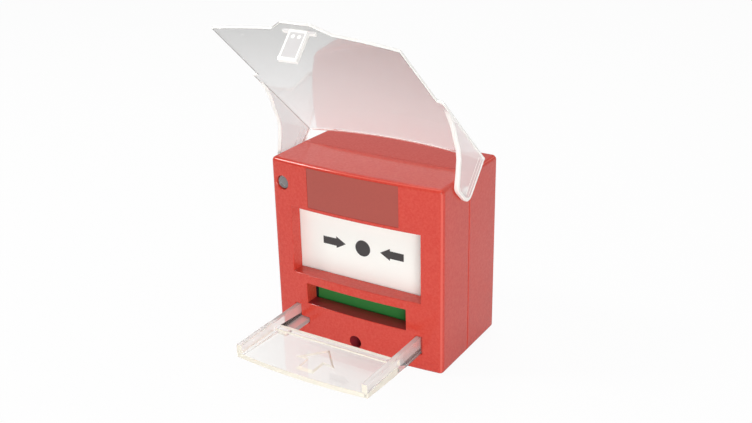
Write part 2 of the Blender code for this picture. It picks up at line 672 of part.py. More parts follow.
def indicator():
    """The light pipe that shows at the front, and the lamp on the board behind it."""
    flange_front = front_depth(LENS_X - LENS_FLANGE / 2) + COVER_WALL + FIT
    start = front_depth(LENS_X) + LENS_SINK
    led_front = BOARD_FRONT - FIT - LED_LENGTH
    radius = LENS_DIAMETER / 2
    lens = rod((LENS_X, start, LENS_HEIGHT), (LENS_X, flange_front + OVERCUT, LENS_HEIGHT), 2 * radius)
    flange_end = flange_front + LENS_FLANGE_THICKNESS
    join(lens, rod((LENS_X, flange_front, LENS_HEIGHT), (LENS_X, flange_end, LENS_HEIGHT), LENS_FLANGE))
    stem_start = (LENS_X, flange_front + LENS_FLANGE_THICKNESS / 2, LENS_HEIGHT)
    join(lens, rod(stem_start, (LENS_X, led_front - FIT, LENS_HEIGHT), LENS_STEM, SMALL_SIDES))
    piece("indicator_lens", lens, GREY_CLEAR)
    bulb = LED_DIAMETER / 2
    profile = [(0, 0), (bulb * 0.7, bulb * 0.3), (bulb, bulb), (bulb, LED_LENGTH), (0, LED_LENGTH)]
    piece("indicator_led", turned(profile, (LENS_X, led_front, LENS_HEIGHT), (0, 1, 0)), GREEN)


def slotted_screw(name, head, seat, head_diameter, head_length, shank_diameter, shank_end, towards):
    """A screw along y at (x, z) head; its head stands on the seat, on the side away from towards."""
    x, z = head
    top = seat - towards * head_length
    screw = rod((x, top, z), (x, seat, z), head_diameter, SMALL_SIDES)
    if shank_diameter:
        start = seat - towards * head_length / 2
        join(screw, rod((x, start, z), (x, shank_end, z), shank_diameter, SMALL_SIDES))
    depths = sorted((top - towards * OVERCUT, top + towards * SLOT_DEPTH))
    half = head_diameter / 2 + OVERCUT
    low = (x - SLOT_WIDTH / 2, depths[0], z - half)
    cut(screw, block(low, (x + SLOT_WIDTH / 2, depths[1], z + half)))
    return piece(name, screw, STEEL)


def screws():
    """The cover screw and those that hold the chassis and the board."""
    slotted_screw(
        "cover_screw",
        (0, COVER_SCREW_HEIGHT),
        COVER_SCREW_SEAT - FIT,
        COVER_SCREW_HEAD,
        COVER_SCREW_HEAD_LENGTH,
        COVER_SCREW_SHANK,
        BOX_FRONT + COVER_SCREW_GRIP,
        1,
    )
    for number, place in enumerate(boss_places(), 1):
        slotted_screw(
            f"chassis_screw_{number}",
            place,
            CHASSIS_BACK + FIT,
            CHASSIS_SCREW_HEAD,
            CHASSIS_SCREW_HEAD_LENGTH,
            CHASSIS_SCREW_SHANK,
            CHASSIS_BACK - CHASSIS_SCREW_LENGTH,
            -1,
        )
    for number, place in enumerate(standoff_places(), 1):
        slotted_screw(
            f"board_screw_{number}",
            place,
            BOARD_BACK + FIT,
            BOARD_SCREW_HEAD,
            BOARD_SCREW_HEAD_LENGTH,
            BOARD_SCREW_SHANK,
            BOARD_BACK - BOARD_SCREW_LENGTH,
            -1,
        )


def post_places():
    """Where the carriage's guide posts stand."""
    z = PRESS_MIDDLE + POST_ABOVE
    return [(side * POST_SPREAD / 2, z) for side in (-1, 1)]


def mechanism_chassis():
    """The plate behind the cover, with flag cheeks, guide bushes and board standoffs."""
    half = INNER_HALF - CHASSIS_SIDE_GAP
    shoulder = BODY_HEIGHT - CHASSIS_SHOULDER
    head = CHASSIS_HEAD_WIDTH / 2
    head_top = BODY_HEIGHT - CHASSIS_HEAD_TOP
    right = [(half, CHASSIS_LOW), (half, shoulder), (head, shoulder), (head, head_top)]
    outline = right + [(-x, z) for x, z in right[::-1]]
    chassis = slab(outline, "Y", CHASSIS_FRONT, CHASSIS_BACK)
    gap = (-CHEEK_INSIDE, CHASSIS_FRONT - OVERCUT, CHASSIS_LOW - OVERCUT)
    cut(chassis, block(gap, (CHEEK_INSIDE, CHASSIS_BACK + OVERCUT, FLAG_HIGH + 2 * FLAG_PIN)))
    switch_half = SWITCH_WINDOW_WIDTH / 2
    low = (-switch_half, CHASSIS_FRONT - OVERCUT, PRESS_MIDDLE - SWITCH_WINDOW_BELOW)
    cut(chassis, block(low, (switch_half, CHASSIS_BACK + OVERCUT, PRESS_MIDDLE + SWITCH_WINDOW_ABOVE)))
    cheek_low = FLAG_PIN_HEIGHT - FLAG_PIN / 2 - FIT - CHEEK_THICKNESS / 2
    for side in (-1, 1):
        reach = sorted((side * CHEEK_INSIDE, side * CHEEK_OUTSIDE))
        start = (reach[0], TUNNEL_END + FIT, cheek_low)
        join(chassis, block(start, (reach[1], CHASSIS_FRONT + CHASSIS_THICKNESS / 2, FLAG_HIGH)))
    bush_end = CHASSIS_BACK + BUSH_LENGTH
    bush = POST_DIAMETER + 2 * FIT + 2 * BUSH_WALL
    middle = CHASSIS_FRONT + CHASSIS_THICKNESS / 2
    for x, z in post_places():
        join(chassis, rod((x, middle, z), (x, bush_end, z), bush))
    for x, z in standoff_places():
        join(chassis, rod((x, middle, z), (x, BOARD_FRONT - FIT, z), STANDOFF, SMALL_SIDES))
    for x, z in post_places():
        bore = POST_DIAMETER + 2 * FIT
        cut(chassis, rod((x, CHASSIS_FRONT - OVERCUT, z), (x, bush_end + OVERCUT, z), bore))
    for x, z in boss_places():
        bore = CHASSIS_SCREW_SHANK + 2 * FIT
        cut(chassis, rod((x, CHASSIS_FRONT - OVERCUT, z), (x, CHASSIS_BACK + OVERCUT, z), bore, SMALL_SIDES))
    for x, z in standoff_places():
        bore = BOARD_SCREW_SHANK + 2 * FIT
        start = BOARD_BACK - BOARD_SCREW_LENGTH - OVERCUT
        cut(chassis, rod((x, start, z), (x, BOARD_FRONT + OVERCUT, z), bore, SMALL_SIDES))
    pin_bore = FLAG_PIN + 2 * FIT
    cut(chassis, across(CHEEK_OUTSIDE + OVERCUT, FLAG_PIN_DEPTH, FLAG_PIN_HEIGHT, pin_bore, SMALL_SIDES))
    return piece("mechanism_chassis", chassis, BLACK)


def flag_parts():
    """The flag that falls back on its pins, and the plate that shows behind it."""
    pin_bottom = FLAG_PIN_HEIGHT - FLAG_PIN / 2
    low = (-FLAG_HALF, FLAG_FRONT, pin_bottom)
    flag = block(low, (FLAG_HALF, FLAG_FRONT + FLAG_THICKNESS, FLAG_HIGH))
    pin_top = FLAG_PIN_HEIGHT + FLAG_PIN / 2
    lug_back = FLAG_PIN_DEPTH + FLAG_PIN / 2
    for side in (-1, 1):
        reach = sorted((side * (FLAG_HALF - FLAG_LUG), side * (FLAG_HALF - FIT)))
        start = (reach[0], FLAG_FRONT + FLAG_THICKNESS / 2, pin_bottom + FIT / 2)
        join(flag, block(start, (reach[1], lug_back, pin_top + FIT)))
        pin_start = (side * (FLAG_HALF - FLAG_LUG / 2), FLAG_PIN_DEPTH, FLAG_PIN_HEIGHT)
        pin_end = (side * CHEEK_OUTSIDE, FLAG_PIN_DEPTH, FLAG_PIN_HEIGHT)
        join(flag, rod(pin_start, pin_end, FLAG_PIN, SMALL_SIDES))
    piece("status_flag", flag, GREEN, (0, FLAG_PIN_DEPTH, FLAG_PIN_HEIGHT))
    half = CHEEK_INSIDE + BACKING_OVERLAP
    front = CHASSIS_BACK + FIT
    start = (-half, front, CHASSIS_LOW)
    top = FLAG_HIGH + 2 * FLAG_PIN + BACKING_OVERLAP
    piece("flag_backing", block(start, (half, front + BACKING_THICKNESS, top)), YELLOW)


def circuit_board():
    """The board, its terminal block and screws, and the sounder."""
    half = HALF_WIDTH - BOX_WALL - BOARD_SIDE_GAP
    board = block((-half, BOARD_FRONT, BOARD_LOW), (half, BOARD_BACK, BODY_HEIGHT - BOARD_FROM_TOP))
    for x, z in standoff_places():
        bore = BOARD_SCREW_SHANK + 2 * FIT
        cut(board, rod((x, BOARD_FRONT - OVERCUT, z), (x, BOARD_BACK + OVERCUT, z), bore, SMALL_SIDES))
    piece("circuit_board", board, BOARD_GREEN)
    front = BOARD_BACK + FIT
    back = front + TERMINAL_DEPTH
    low = BOARD_LOW + TERMINAL_ABOVE
    middle = low + TERMINAL_HEIGHT / 2
    span = TERMINAL_COUNT * TERMINAL_PITCH / 2
    terminals = block((-span, front, low), (span, back, low + TERMINAL_HEIGHT))
    for number in range(TERMINAL_COUNT):
        x = TERMINAL_PITCH * (number - (TERMINAL_COUNT - 1) / 2)
        floor = back - TERMINAL_WELL_DEPTH
        cut(terminals, rod((x, floor, middle), (x, back + OVERCUT, middle), TERMINAL_WELL, SMALL_SIDES))
        entry = (x - WIRE_ENTRY / 2, front + FIT + OVERCUT, low - OVERCUT)
        entry_back = entry[1] + TERMINAL_DEPTH - TERMINAL_WELL_DEPTH - FIT - 2 * OVERCUT
        cut(terminals, block(entry, (x + WIRE_ENTRY / 2, entry_back, low + WIRE_ENTRY_DEPTH)))
        diameter = TERMINAL_WELL - 2 * FIT
        name = f"terminal_screw_{number + 1}"
        slotted_screw(name, (x, middle), floor + FIT, diameter, TERMINAL_SCREW_LENGTH, 0, 0, -1)
    piece("terminal_block", terminals, DARK_GREEN)
    x = -BUZZER_SIDE
    z = UPPER_STANDOFF_HEIGHT
    buzzer = rod((x, front, z), (x, front + BUZZER_DEPTH, z), BUZZER_DIAMETER)
    port_floor = front + BUZZER_DEPTH / 2
    cut(buzzer, rod((x, port_floor, z), (x, front + BUZZER_DEPTH + OVERCUT, z), BUZZER_PORT, SMALL_SIDES))
    piece("buzzer", buzzer, BLACK)


def microswitches():
    """Two small switches on the board, each with a hinged lever over its plunger."""
    plunger_height = LEVER_HINGE_HEIGHT - PLUNGER_ARM
    for name, side in (("left", -1), ("right", 1)):
        x = side * SWITCH_SPREAD / 2
        low = (x - SWITCH_WIDTH / 2, SWITCH_FRONT, SWITCH_TOP - SWITCH_HEIGHT)
        switch = block(low, (x + SWITCH_WIDTH / 2, SWITCH_BACK, SWITCH_TOP))
        bore_end = SWITCH_FRONT + PLUNGER_GRIP + PLUNGER_TRAVEL + FIT
        bore_start = (x, SWITCH_FRONT - OVERCUT, plunger_height)
        bore = PLUNGER_DIAMETER + 2 * FIT
        cut(switch, rod(bore_start, (x, bore_end, plunger_height), bore, SMALL_SIDES))
        piece(f"microswitch_{name}", switch, BLACK)
        tip = (x, PLUNGER_TIP, plunger_height)
        plunger_end = (x, SWITCH_FRONT + PLUNGER_GRIP, plunger_height)
        piece(f"switch_plunger_{name}", rod(tip, plunger_end, PLUNGER_DIAMETER, SMALL_SIDES), RED, tip)
        hinge = new_empty(
            f"lever_hinge_{name}", FRAME, (x, LEVER_HINGE_DEPTH, LEVER_HINGE_HEIGHT), -LEVER_SWING
        )
        length = LEVER_ARM + LEVER_TAIL
        strip = (-LEVER_WIDTH / 2, -LEVER_THICKNESS / 2, -length)
        lever = block(strip, (LEVER_WIDTH / 2, LEVER_THICKNESS / 2, 0), hinge)
        join(lever, across(LEVER_WIDTH / 2 - FIT, 0, 0, LEVER_HINGE_ROUND, SMALL_SIDES, hinge))
        piece(f"switch_lever_{name}", lever, STEEL)


def press_parts():
    """The white panel and the carriage behind it, with guide posts, switch pushers and the catch."""
    half = PRESS_WIDTH / 2 + TUNNEL_WALL
    half_height = PRESS_HEIGHT / 2 + TUNNEL_WALL
    low = (-half, PANEL_FRONT, PRESS_MIDDLE - half_height)
    panel = block(low, (half, PANEL_FRONT + PANEL_THICKNESS, PRESS_MIDDLE + half_height))
    piece("press_panel", panel, WHITE, (0, PANEL_FRONT, PRESS_MIDDLE))
    low = (-half + CARRIAGE_INSET, CARRIAGE_FRONT, PRESS_MIDDLE - half_height + CARRIAGE_INSET)
    high = (half - CARRIAGE_INSET, CARRIAGE_BACK, PRESS_MIDDLE + half_height - CARRIAGE_INSET)
    carriage = block(low, high)
    start = CARRIAGE_FRONT + CARRIAGE_THICKNESS / 2
    post_end = CHASSIS_BACK + BUSH_LENGTH + POST_TAIL
    for x, z in post_places():
        join(carriage, rod((x, start, z), (x, post_end, z), POST_DIAMETER))
    for side in (-1, 1):
        x = side * SWITCH_SPREAD / 2
        pusher_start = (x, start, ACTUATOR_HEIGHT)
        join(carriage, rod(pusher_start, (x, ACTUATOR_END, ACTUATOR_HEIGHT), ACTUATOR_DIAMETER, SMALL_SIDES))
        middle = side * FINGER_SPREAD / 2
        finger = (middle - FINGER_WIDTH / 2, start, FLAG_HIGH + FIT)
        finger_top = PRESS_MIDDLE - half_height + CARRIAGE_INSET + OVERCUT
        join(carriage, block(finger, (middle + FINGER_WIDTH / 2, CARRIAGE_BACK - FIT, finger_top)))
    catch_end = CARRIAGE_BACK + CATCH_REACH
    catch_half = CATCH_WIDTH / 2
    catch_top = CATCH_LOW + CATCH_WIDTH
    join(carriage, block((-catch_half, start, CATCH_LOW), (catch_half, catch_end, catch_top)))
    piece("panel_carriage", carriage, BLACK, (0, CARRIAGE_FRONT, PRESS_MIDDLE))
    coil = POST_DIAMETER + 2 * FIT + SPRING_WIRE
    for name, (x, z) in zip(("left", "right"), post_places()):
        ends = (CARRIAGE_BACK + FIT, CHASSIS_FRONT - FIT)
        spring(f"return_spring_{name}", (x, z), ends, coil, SPRING_TURNS)


def least_self_gap(points, wire, turn_points):
    """The least clear distance between points of a coil that lie more than half a turn apart."""
    gaps = []
    for i, first in enumerate(points):
        for second in points[i + turn_points // 2 :]:
            gaps.append((first - second).length)
    return min(gaps) - wire


def spring(name, place, ends, diameter, turns):
    """A coil spring along y at (x, z) place, as one unbroken wire between two seats."""
    x, z = place
    first = ends[0] + SPRING_WIRE / 2
    length = ends[1] - ends[0] - SPRING_WIRE
    count = turns * SPRING_POINTS
    points = []
    for i in range(count + 1):
        turn = 2 * math.pi * i / SPRING_POINTS
        reach = Vector((math.cos(turn), 0, math.sin(turn))) * diameter / 2
        points.append(reach + Vector((x, first + length * i / count, z)))
    curve = bpy.data.curves.new(name, "CURVE")
    curve.dimensions = "3D"
    curve.bevel_depth = SPRING_WIRE / 2
    curve.bevel_resolution = 1
    curve.use_fill_caps = True
    spline = curve.splines.new("POLY")
    spline.points.add(count)
    for point, place in zip(spline.points, points):
        point.co = (*place, 1)
    coil = bpy.data.objects.new(name, curve)
    PARTS.objects.link(coil)
    coil.parent = FRAME
    curve.materials.append(STEEL)
    gap = least_self_gap(points, SPRING_WIRE, SPRING_POINTS)
    print(f"{name}: least gap between turns {gap / MM:.2f} mm")
    return coil


def reset_latch():
    """The sprung bar that the key's prongs push, with the stem that lets the carriage go."""
    half = KEY_HALF
    inner = KEY_HALF - KEY_FOOT
    right = [(inner, LATCH_BAR_LOW), (inner, KEY_BOTTOM), (half, KEY_BOTTOM), (half, LATCH_BAR_HIGH)]
    stem = LATCH_STEM_WIDTH / 2
    right += [(stem, LATCH_BAR_HIGH), (stem, CATCH_LOW - FIT)]
    outline = right + [(-x, z) for x, z in right[::-1]]
    latch = slab(outline, "Y", LATCH_FRONT, LATCH_BACK)
    for x, z in peg_places():
        bore = PEG_DIAMETER + 2 * FIT
        cut(latch, rod((x, LATCH_FRONT - OVERCUT, z), (x, LATCH_BACK + OVERCUT, z), bore, SMALL_SIDES))
    piece("reset_latch", latch, GREY, (0, LATCH_FRONT, LATCH_HEIGHT))
    coil = PEG_DIAMETER + 2 * FIT + SPRING_WIRE
    for name, place in zip(("left", "right"), peg_places()):
        ends = (LATCH_BACK + FIT, LATCH_BACK + FIT + LATCH_SPRING_LENGTH)
        spring(f"latch_spring_{name}", place, ends, coil, LATCH_SPRING_TURNS)


def ear_outline():
    """The side of the lid as (depth, height), from the panel over the top and back along the swept edge."""
    inside = -LID_GAP - LID_THICKNESS / 2
    edge = [(y * MM, BODY_HEIGHT - fall * MM) for y, fall in LID_EAR_EDGE]
    foot = BODY_HEIGHT - LID_EAR_LENGTH + STEP
    return [(inside, BODY_HEIGHT - STEP), *edge, (-LID_GAP - STEP, foot), (inside, foot)]


def clear_lid():
    """The lid, shaped shut and then turned open on its pins."""
    pin = (0, LID_PIN_DEPTH, LID_PIN_HEIGHT)
    hinge = new_empty("lid_hinge", FRAME, pin, -math.radians(LID_ANGLE))
    shut = new_empty("lid_shut_frame", hinge, -Vector(pin))
    outside = -LID_GAP - LID_THICKNESS
    lid = bowed_sheet(EAR_OUTSIDE + STEP, outside, -LID_GAP, -LID_DROP, BODY_HEIGHT, shut)
    panel_half = EAR_OUTSIDE - LID_PANEL_INSET
    ear_foot = BODY_HEIGHT - LID_EAR_LENGTH
    for side in (-1, 1):
        strip = sorted((side * panel_half, side * (EAR_OUTSIDE + OVERCUT)))
        low = (strip[0], outside - OVERCUT, -LID_DROP - OVERCUT)
        cut(lid, block(low, (strip[1], front_depth(EAR_OUTSIDE) + OVERCUT, ear_foot), shut))
    for side in (-1, 1):
        low, high = sorted((side * EAR_INSIDE, side * EAR_OUTSIDE))
        join(lid, slab(ear_outline(), "X", low, high, shut))
        stud_start = (side * (EAR_INSIDE + LID_EAR / 2), *pin[1:])
        join(lid, rod(stud_start, (side * (INNER_HALF + FIT), *pin[1:]), LID_PIN, ROUND_SIDES, shut))
    panel_inside = -FRONT_BOW - LID_GAP
    right = [(THUMB_TAB_ROOT / 2, OVERCUT), (THUMB_TAB_ROOT / 2, 0), (THUMB_TAB_WIDTH / 2, -THUMB_TAB_REACH)]
    outline = [(x, z - LID_DROP) for x, z in right]
    outline += [(-x, z) for x, z in outline[::-1]]
    tab_front = panel_inside - LID_THICKNESS + 2 * STEP
    join(lid, slab(outline, "Y", tab_front, panel_inside - STEP, shut))
    root = panel_inside - LID_THICKNESS / 2
    arm_low = -LID_DROP - LATCH_ARM_THICKNESS
    arm_half = LATCH_ARM_WIDTH / 2
    arm_end = panel_inside + LATCH_ARM_LENGTH
    join(lid, block((-arm_half, root, arm_low), (arm_half, arm_end, -LID_DROP - STEP), shut))
    wing_half = LATCH_WING_WIDTH / 2
    wing_end = panel_inside + LATCH_WING_LENGTH
    join(lid, block((-wing_half, root, arm_low + STEP), (wing_half, wing_end, -LID_DROP - 2 * STEP), shut))
    return piece("clear_lid", lid, CLEAR)


def key_front(half):
    """Points along the key's bowed front edge from -half to half."""
    points = []
    for i in range(BOW_STEPS + 1):
        x = half * (2 * i / BOW_STEPS - 1)
        points.append((x, -KEY_FRONT - KEY_FRONT_BOW * (1 - (x / KEY_HALF) ** 2)))
    return points


def reset_key():
    """The clear tool: a plate between walls that run on as L-shaped prongs, a ledge and a raised arrow."""
    half = KEY_HALF - KEY_WALL / 2
    outline = [*key_front(half), (half, -KEY_PLATE_REAR), (-half, -KEY_PLATE_REAR)]
    key = slab(outline, "Z", KEY_PLATE_LOW, KEY_PLATE_TOP)
    side_view = [
        (-KEY_FRONT, KEY_PLATE_LOW - STEP),
        (-KEY_WALL_RISE, KEY_BOTTOM),
        (KEY_REACH, KEY_BOTTOM),
        (KEY_REACH, KEY_TOP),
        (-KEY_FRONT, KEY_TOP),
    ]
    for side in (-1, 1):
        wall = sorted((side * (KEY_HALF - KEY_WALL), side * KEY_HALF))
        join(key, slab(side_view, "X", *wall))
        foot = sorted((side * (KEY_HALF - KEY_FOOT), side * half))
        low = (foot[0], -KEY_FOOT_START, KEY_BOTTOM + STEP)
        join(key, block(low, (foot[1], KEY_REACH - STEP, KEY_FOOT_TOP)))
    middle = KEY_PLATE_LOW + KEY_PLATE / 2
    ledge = (-half, -KEY_PLATE_REAR - KEY_LEDGE, middle)
    join(key, block(ledge, (half + STEP, -KEY_PLATE_REAR - STEP, KEY_PLATE_TOP + KEY_LEDGE_HEIGHT)))
    right = [
        (KEY_ARROW_HALF, -KEY_ARROW_BARB),
        (KEY_ARROW_SHAFT_HALF, -KEY_ARROW_BARB + KEY_ARROW_SWEEP),
        (KEY_ARROW_SHAFT_HALF, -KEY_ARROW_TAIL),
    ]
    arrow = [(0, -KEY_ARROW_TIP)] + right + [(-x, y) for x, y in right[::-1]]
    join(key, slab(arrow, "Z", middle, KEY_PLATE_TOP + KEY_ARROW_RELIEF))
    return piece("reset_key", key, CLEAR, (0, -KEY_PLATE_REAR, KEY_BOTTOM))


for old in list(bpy.data.objects):
    bpy.data.objects.remove(old)

PARTS = new_collection("manual_call_point")
CUTTERS = new_collection("cutters")
FRAME = new_empty("housing_frame", None, (0, -BODY_DEPTH, -BODY_HEIGHT / 2))

RED = paint("red_plastic", (0.66, 0.07, 0.05), 0.3)
BROWN = paint("title_film", (0.43, 0.09, 0.075), 0.35)
WHITE = paint("white_plastic", (0.86, 0.85, 0.82), 0.4)
GREEN = paint("green_plastic", (0.02, 0.22, 0.04), 0.4)
YELLOW = paint("yellow_plastic", (0.8, 0.55, 0.02), 0.45)
BLACK = paint("black_plastic", (0.02, 0.02, 0.02), 0.45)
GREY = paint("grey_plastic", (0.3, 0.3, 0.3), 0.45)
GREY_CLEAR = paint("smoky_plastic", (0.45, 0.44, 0.44), 0.25)
BOARD_GREEN = paint("board_laminate", (0.02, 0.13, 0.05), 0.4)
DARK_GREEN = paint("terminal_plastic", (0.03, 0.2, 0.08), 0.5)
STEEL = paint("plated_steel", (0.6, 0.6, 0.6), 0.3, metallic=1.0)
CLEAR = paint("clear_plastic", (0.95, 0.95, 0.94), 0.05, transmission=1.0)

back_box()
front_cover()
title_plate()
indicator()
mechanism_chassis()
flag_parts()
circuit_board()
microswitches()
press_parts()
reset_latch()
clear_lid()
reset_key()
screws()
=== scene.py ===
"""Looks of a manual call point: red housing, clear lift-up lid, press panel, status flag and clear reset key.

Shapes are made in millimetres in the housing's own frame: x to the right of the middle, depth d from the
side edges of the front face towards the wall, and height h from the underside. TO_FRAME takes them to the
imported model's frame, whose origin is the middle of the wall face.
"""

import json
import math

import bmesh
import bpy
from mathutils import Matrix, Vector

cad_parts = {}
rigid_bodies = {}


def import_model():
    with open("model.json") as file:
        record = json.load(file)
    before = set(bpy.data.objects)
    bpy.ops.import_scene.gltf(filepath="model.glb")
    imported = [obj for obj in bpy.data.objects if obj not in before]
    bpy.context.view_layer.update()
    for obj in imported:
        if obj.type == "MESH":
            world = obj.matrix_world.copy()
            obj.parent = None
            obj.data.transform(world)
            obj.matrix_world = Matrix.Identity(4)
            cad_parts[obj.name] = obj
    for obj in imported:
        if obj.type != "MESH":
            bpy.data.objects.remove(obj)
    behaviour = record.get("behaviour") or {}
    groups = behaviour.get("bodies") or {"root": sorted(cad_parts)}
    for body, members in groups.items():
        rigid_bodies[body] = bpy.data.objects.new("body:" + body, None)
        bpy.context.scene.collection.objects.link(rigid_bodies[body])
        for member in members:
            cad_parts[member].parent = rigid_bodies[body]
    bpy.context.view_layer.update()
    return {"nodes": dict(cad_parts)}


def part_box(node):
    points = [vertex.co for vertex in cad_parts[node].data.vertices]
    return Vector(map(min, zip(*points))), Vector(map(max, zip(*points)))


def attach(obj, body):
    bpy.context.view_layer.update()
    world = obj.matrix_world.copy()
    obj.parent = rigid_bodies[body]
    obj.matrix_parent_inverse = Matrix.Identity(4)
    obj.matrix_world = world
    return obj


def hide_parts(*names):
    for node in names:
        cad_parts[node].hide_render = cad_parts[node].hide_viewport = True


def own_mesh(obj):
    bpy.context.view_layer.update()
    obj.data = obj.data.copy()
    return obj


DEPTH, HEIGHT, HALF = 50.0, 87.0, 43.5
MM = 0.001
TO_FRAME = Matrix.Translation((0, -DEPTH * MM, -HEIGHT / 2 * MM)) @ Matrix.Scale(MM, 4)
SIDES = (-1, 1)
STEP = 0.05  # keeps the faces of shapes that are fused off one plane
OVER = 1.0  # how far a cutter runs past the face it cuts
NEAR = 0.1  # how far from a plane the middle of a face or edge may lie and still count as on it
FACING = 0.9  # a face whose normal has more than this along an axis faces that way
ROUND_SIDES, SMALL_SIDES = 48, 24
MERGE_WITHIN = 0.001
FLAT_WITHIN = math.radians(0.05)
SHARP_ANGLE = math.radians(32)
ROUND_PROFILE = 0.5
ROUND_STEPS, FINE_STEPS = 3, 2
FINE_ROUND = 0.2
LEAST_TURN = math.radians(40)
OUTLINE_STEPS = 6

# Housing
BOW = 2.5
BOW_RADIUS = (HALF**2 + BOW**2) / (2 * BOW)
BOW_STEPS = 22
SEAM, BOX_FRONT = 24.5, 24.48
CORNER, CORNER_STEPS = 2.0, 7
HIGHLIGHT_SLOPE = 0.55  # the middle of a rounded edge, which gets a painted highlight, leans from both its faces by more than this
WALL = 2.2
INNER = HALF - WALL
BACK_INSIDE = DEPTH - WALL
BOX_DRAFT = 0.5
BAND_START, BAND_RECESS = 18.0, 0.25
LIP_REACH, LIP_GAP, LIP_FIT = 2.5, 1.1, 0.3
SEAM_ROUND, SEAM_TOP_ROUND, SEAM_TOP = 0.06, 0.35, HEIGHT - 0.5
BACK_ROUND, BACK_RIM, BACK_SUNK, BACK_CORNER = 0.4, 3.2, 0.5, 2.5
KNOCKOUT, KNOCKOUT_H, KNOCKOUT_DEPTH = 19.0, 63.5, 0.4
KNOCKOUT_GROOVE, KNOCKOUT_SIDES = 0.8, 64
CABLE_HOLE, CABLE_HOLE_H = 20.0, 23.0
FIXING_X, FIXING_LENGTH, FIXING_WIDTH, FIXING_STEPS = 30.15, 9.0, 4.4, 12

# Openings of the front as half width, lowest and highest point
PRESS = (33.2, 33.15, 65.25)
FLAG = (26.0, 18.7, 28.7)
TITLE = (23.0, 67.1, 85.3)
TUNNEL_WALL, TUNNEL_END = 1.4, 5.9
OPENING_ROUND = 0.45
OPENINGS_BACK, OPENINGS_HALF = 20.5, 42.0  # their edges lie in front of and within these
TITLE_GAP, TITLE_SINK = 0.25, 0.55
SLOT_PARTS = ((30.3, 33.7, 16.9), (25.6, 33.4, 10.9))  # leg and foot of a key slot: from, to and top
SLOT_LOW = 8.0

# Round fittings of the housing: places as x and height, then starts, ends and diameters along the depth
BOSSES = ((-28.0, 71.5), (28.0, 71.5), (-37.4, 24.0), (37.4, 24.0))
BOSS, BOSS_END = 6.4, 17.7
BOSS_BORE, BOSS_BORE_START, BOSS_BORE_END = 3.0, 10.0, 19.0
LATCH_PEGS = ((-18.0, 13.5), (18.0, 13.5))
PEG, PEG_START = 3.0, 25.6
PEG_COLLAR, COLLAR_START = 6.8, 38.6
LENS_X, LENS_H = -37.4, 75.7
LENS_HOLE, LENS_HOLE_END = 6.5, 3.2
LENS, LENS_START, LENS_END = 5.9, 0.55, 4.0
LENS_FLANGE, FLANGE_START, FLANGE_END = 7.2, 3.0, 4.2
LENS_STEM, STEM_START, STEM_END = 4.2, 3.6, 33.0
DISH_FRONT, DISH_FLOOR, DISH_END = 5.4, 3.6, 0.9
SCREW_H = 5.7
WELL, WELL_TUBE, WELL_SEAT, WELL_END = 6.0, 8.4, 10.4, 12.0
WELL_SHADE = 0.6 - BOW  # the well's wall gets painted shade from here on
SCREW_BORE, SCREW_BORE_START, SCREW_BOSS, BOX_BORE_END = 3.6, 10.0, 8.0, 35.8
SCREW_HEAD, HEAD_START, HEAD_END = 5.2, 7.7, 10.1
SCREW_SHANK, SHANK_START, SHANK_END = 3.0, 9.0, 34.8
DRIVE_HALF, DRIVE_END, DRIVE_REACH = 0.4, 8.5, 4.0
HEAD_ROUND, HEAD_STEPS = 0.4, 4
LENS_ROUND = 0.15

# Clear lid, shaped shut
LID_PIN = Vector((0, 16.5, 81.2))
LID_STUD, LID_STUD_TIP, LID_PIN_HOLE = 4.4, 41.6, 5.0
LID_ANGLE = math.radians(-132.9)
LID_GAP, LID_THICK, LID_ROUND = 0.9, 1.3, 0.4
LID_FRONT = -BOW - LID_GAP  # the middle of the lid's inner face
LID_HALF, LID_LOW = 43.2, -2.3
LID_PAINTED_SHADE_SPAN = (0.045, 0.135)  # metres along the open lid, from its hinge to its free edge, over which painted shade darkens it
LID_TRIM = (-9.0, 5.0)  # depths that the cutters of the lid's outline run between
SHEET_REACH = 8.0  # below LID_LOW, before the outline trims the sheet
TAB_REACH = 7.8
TAB_ROOT, TAB_END = (13.0, 2.5), (7.6, 1.8)  # half width, and radius of the corner
SHEET_SLOPE = 0.85  # a face whose normal has more than this along the depth is on the sheet
SIDE_SLOPE = 0.6  # one whose normal has more than this to the left is on the left edge
INNER_GAP = 0.02  # behind the lid's inner face, so that the face itself isn't counted
BEAD_HALF, BEAD_ROOT, BEAD_RISE = 43.0, 0.5, 0.12
BEAD_FALL = (1.4, 0.2)
BEAD_ROOM = 2.0
EAR_IN, EAR_OUT, EAR_FOOT = 44.0, 46.0, 35.0
EAR_ROUND_START = 0.3
EAR_EDGE = (  # depth, and fall from the housing's top
    (15.5, 0.0),
    (16.8, 0.2),
    (17.8, 0.5),
    (18.9, 1.3),
    (19.7, 2.4),
    (20.2, 5.0),
    (20.2, 11.5),
    (20.0, 13.2),
    (19.4, 14.5),
    (18.2, 15.5),
    (13.5, 18.5),
    (9.2, 21.8),
    (6.7, 25.1),
    (4.8, 29.9),
    (2.1, 35.6),
    (0.4, 40.3),
    (-0.5, 43.3),
    (-0.85, 47.0),
)
EAR_FIELD = (  # the ear's face inside its rim, in the same terms
    (-0.75, 1.5),
    (15.6, 1.5),
    (17.7, 2.3),
    (18.9, 5.2),
    (18.9, 11.3),
    (17.7, 14.0),
    (12.9, 17.4),
    (8.5, 20.9),
    (5.9, 24.6),
    (3.9, 29.5),
    (1.2, 35.2),
    (-0.75, 39.8),
)
EAR_LINES, EAR_LINE_HALF = (3.4, 6.0), 0.16
EAR_LINE_START, EAR_LINE_END = 0.5, 17.8
RIM = 0.06  # how far rims stand above the faces they frame
LINE_SINK = RIM / 6  # how far raised lines and marks stay below the rims
ARM_TOP, ARM_THICK, ARM_REACH, ARM_HALF = -3.6, 2.0, 13.2, 4.5
ARM_FIELD_HALF, ARM_FIELD_START, ARM_FIELD_MARGIN = 3.3, 1.2, 1.5
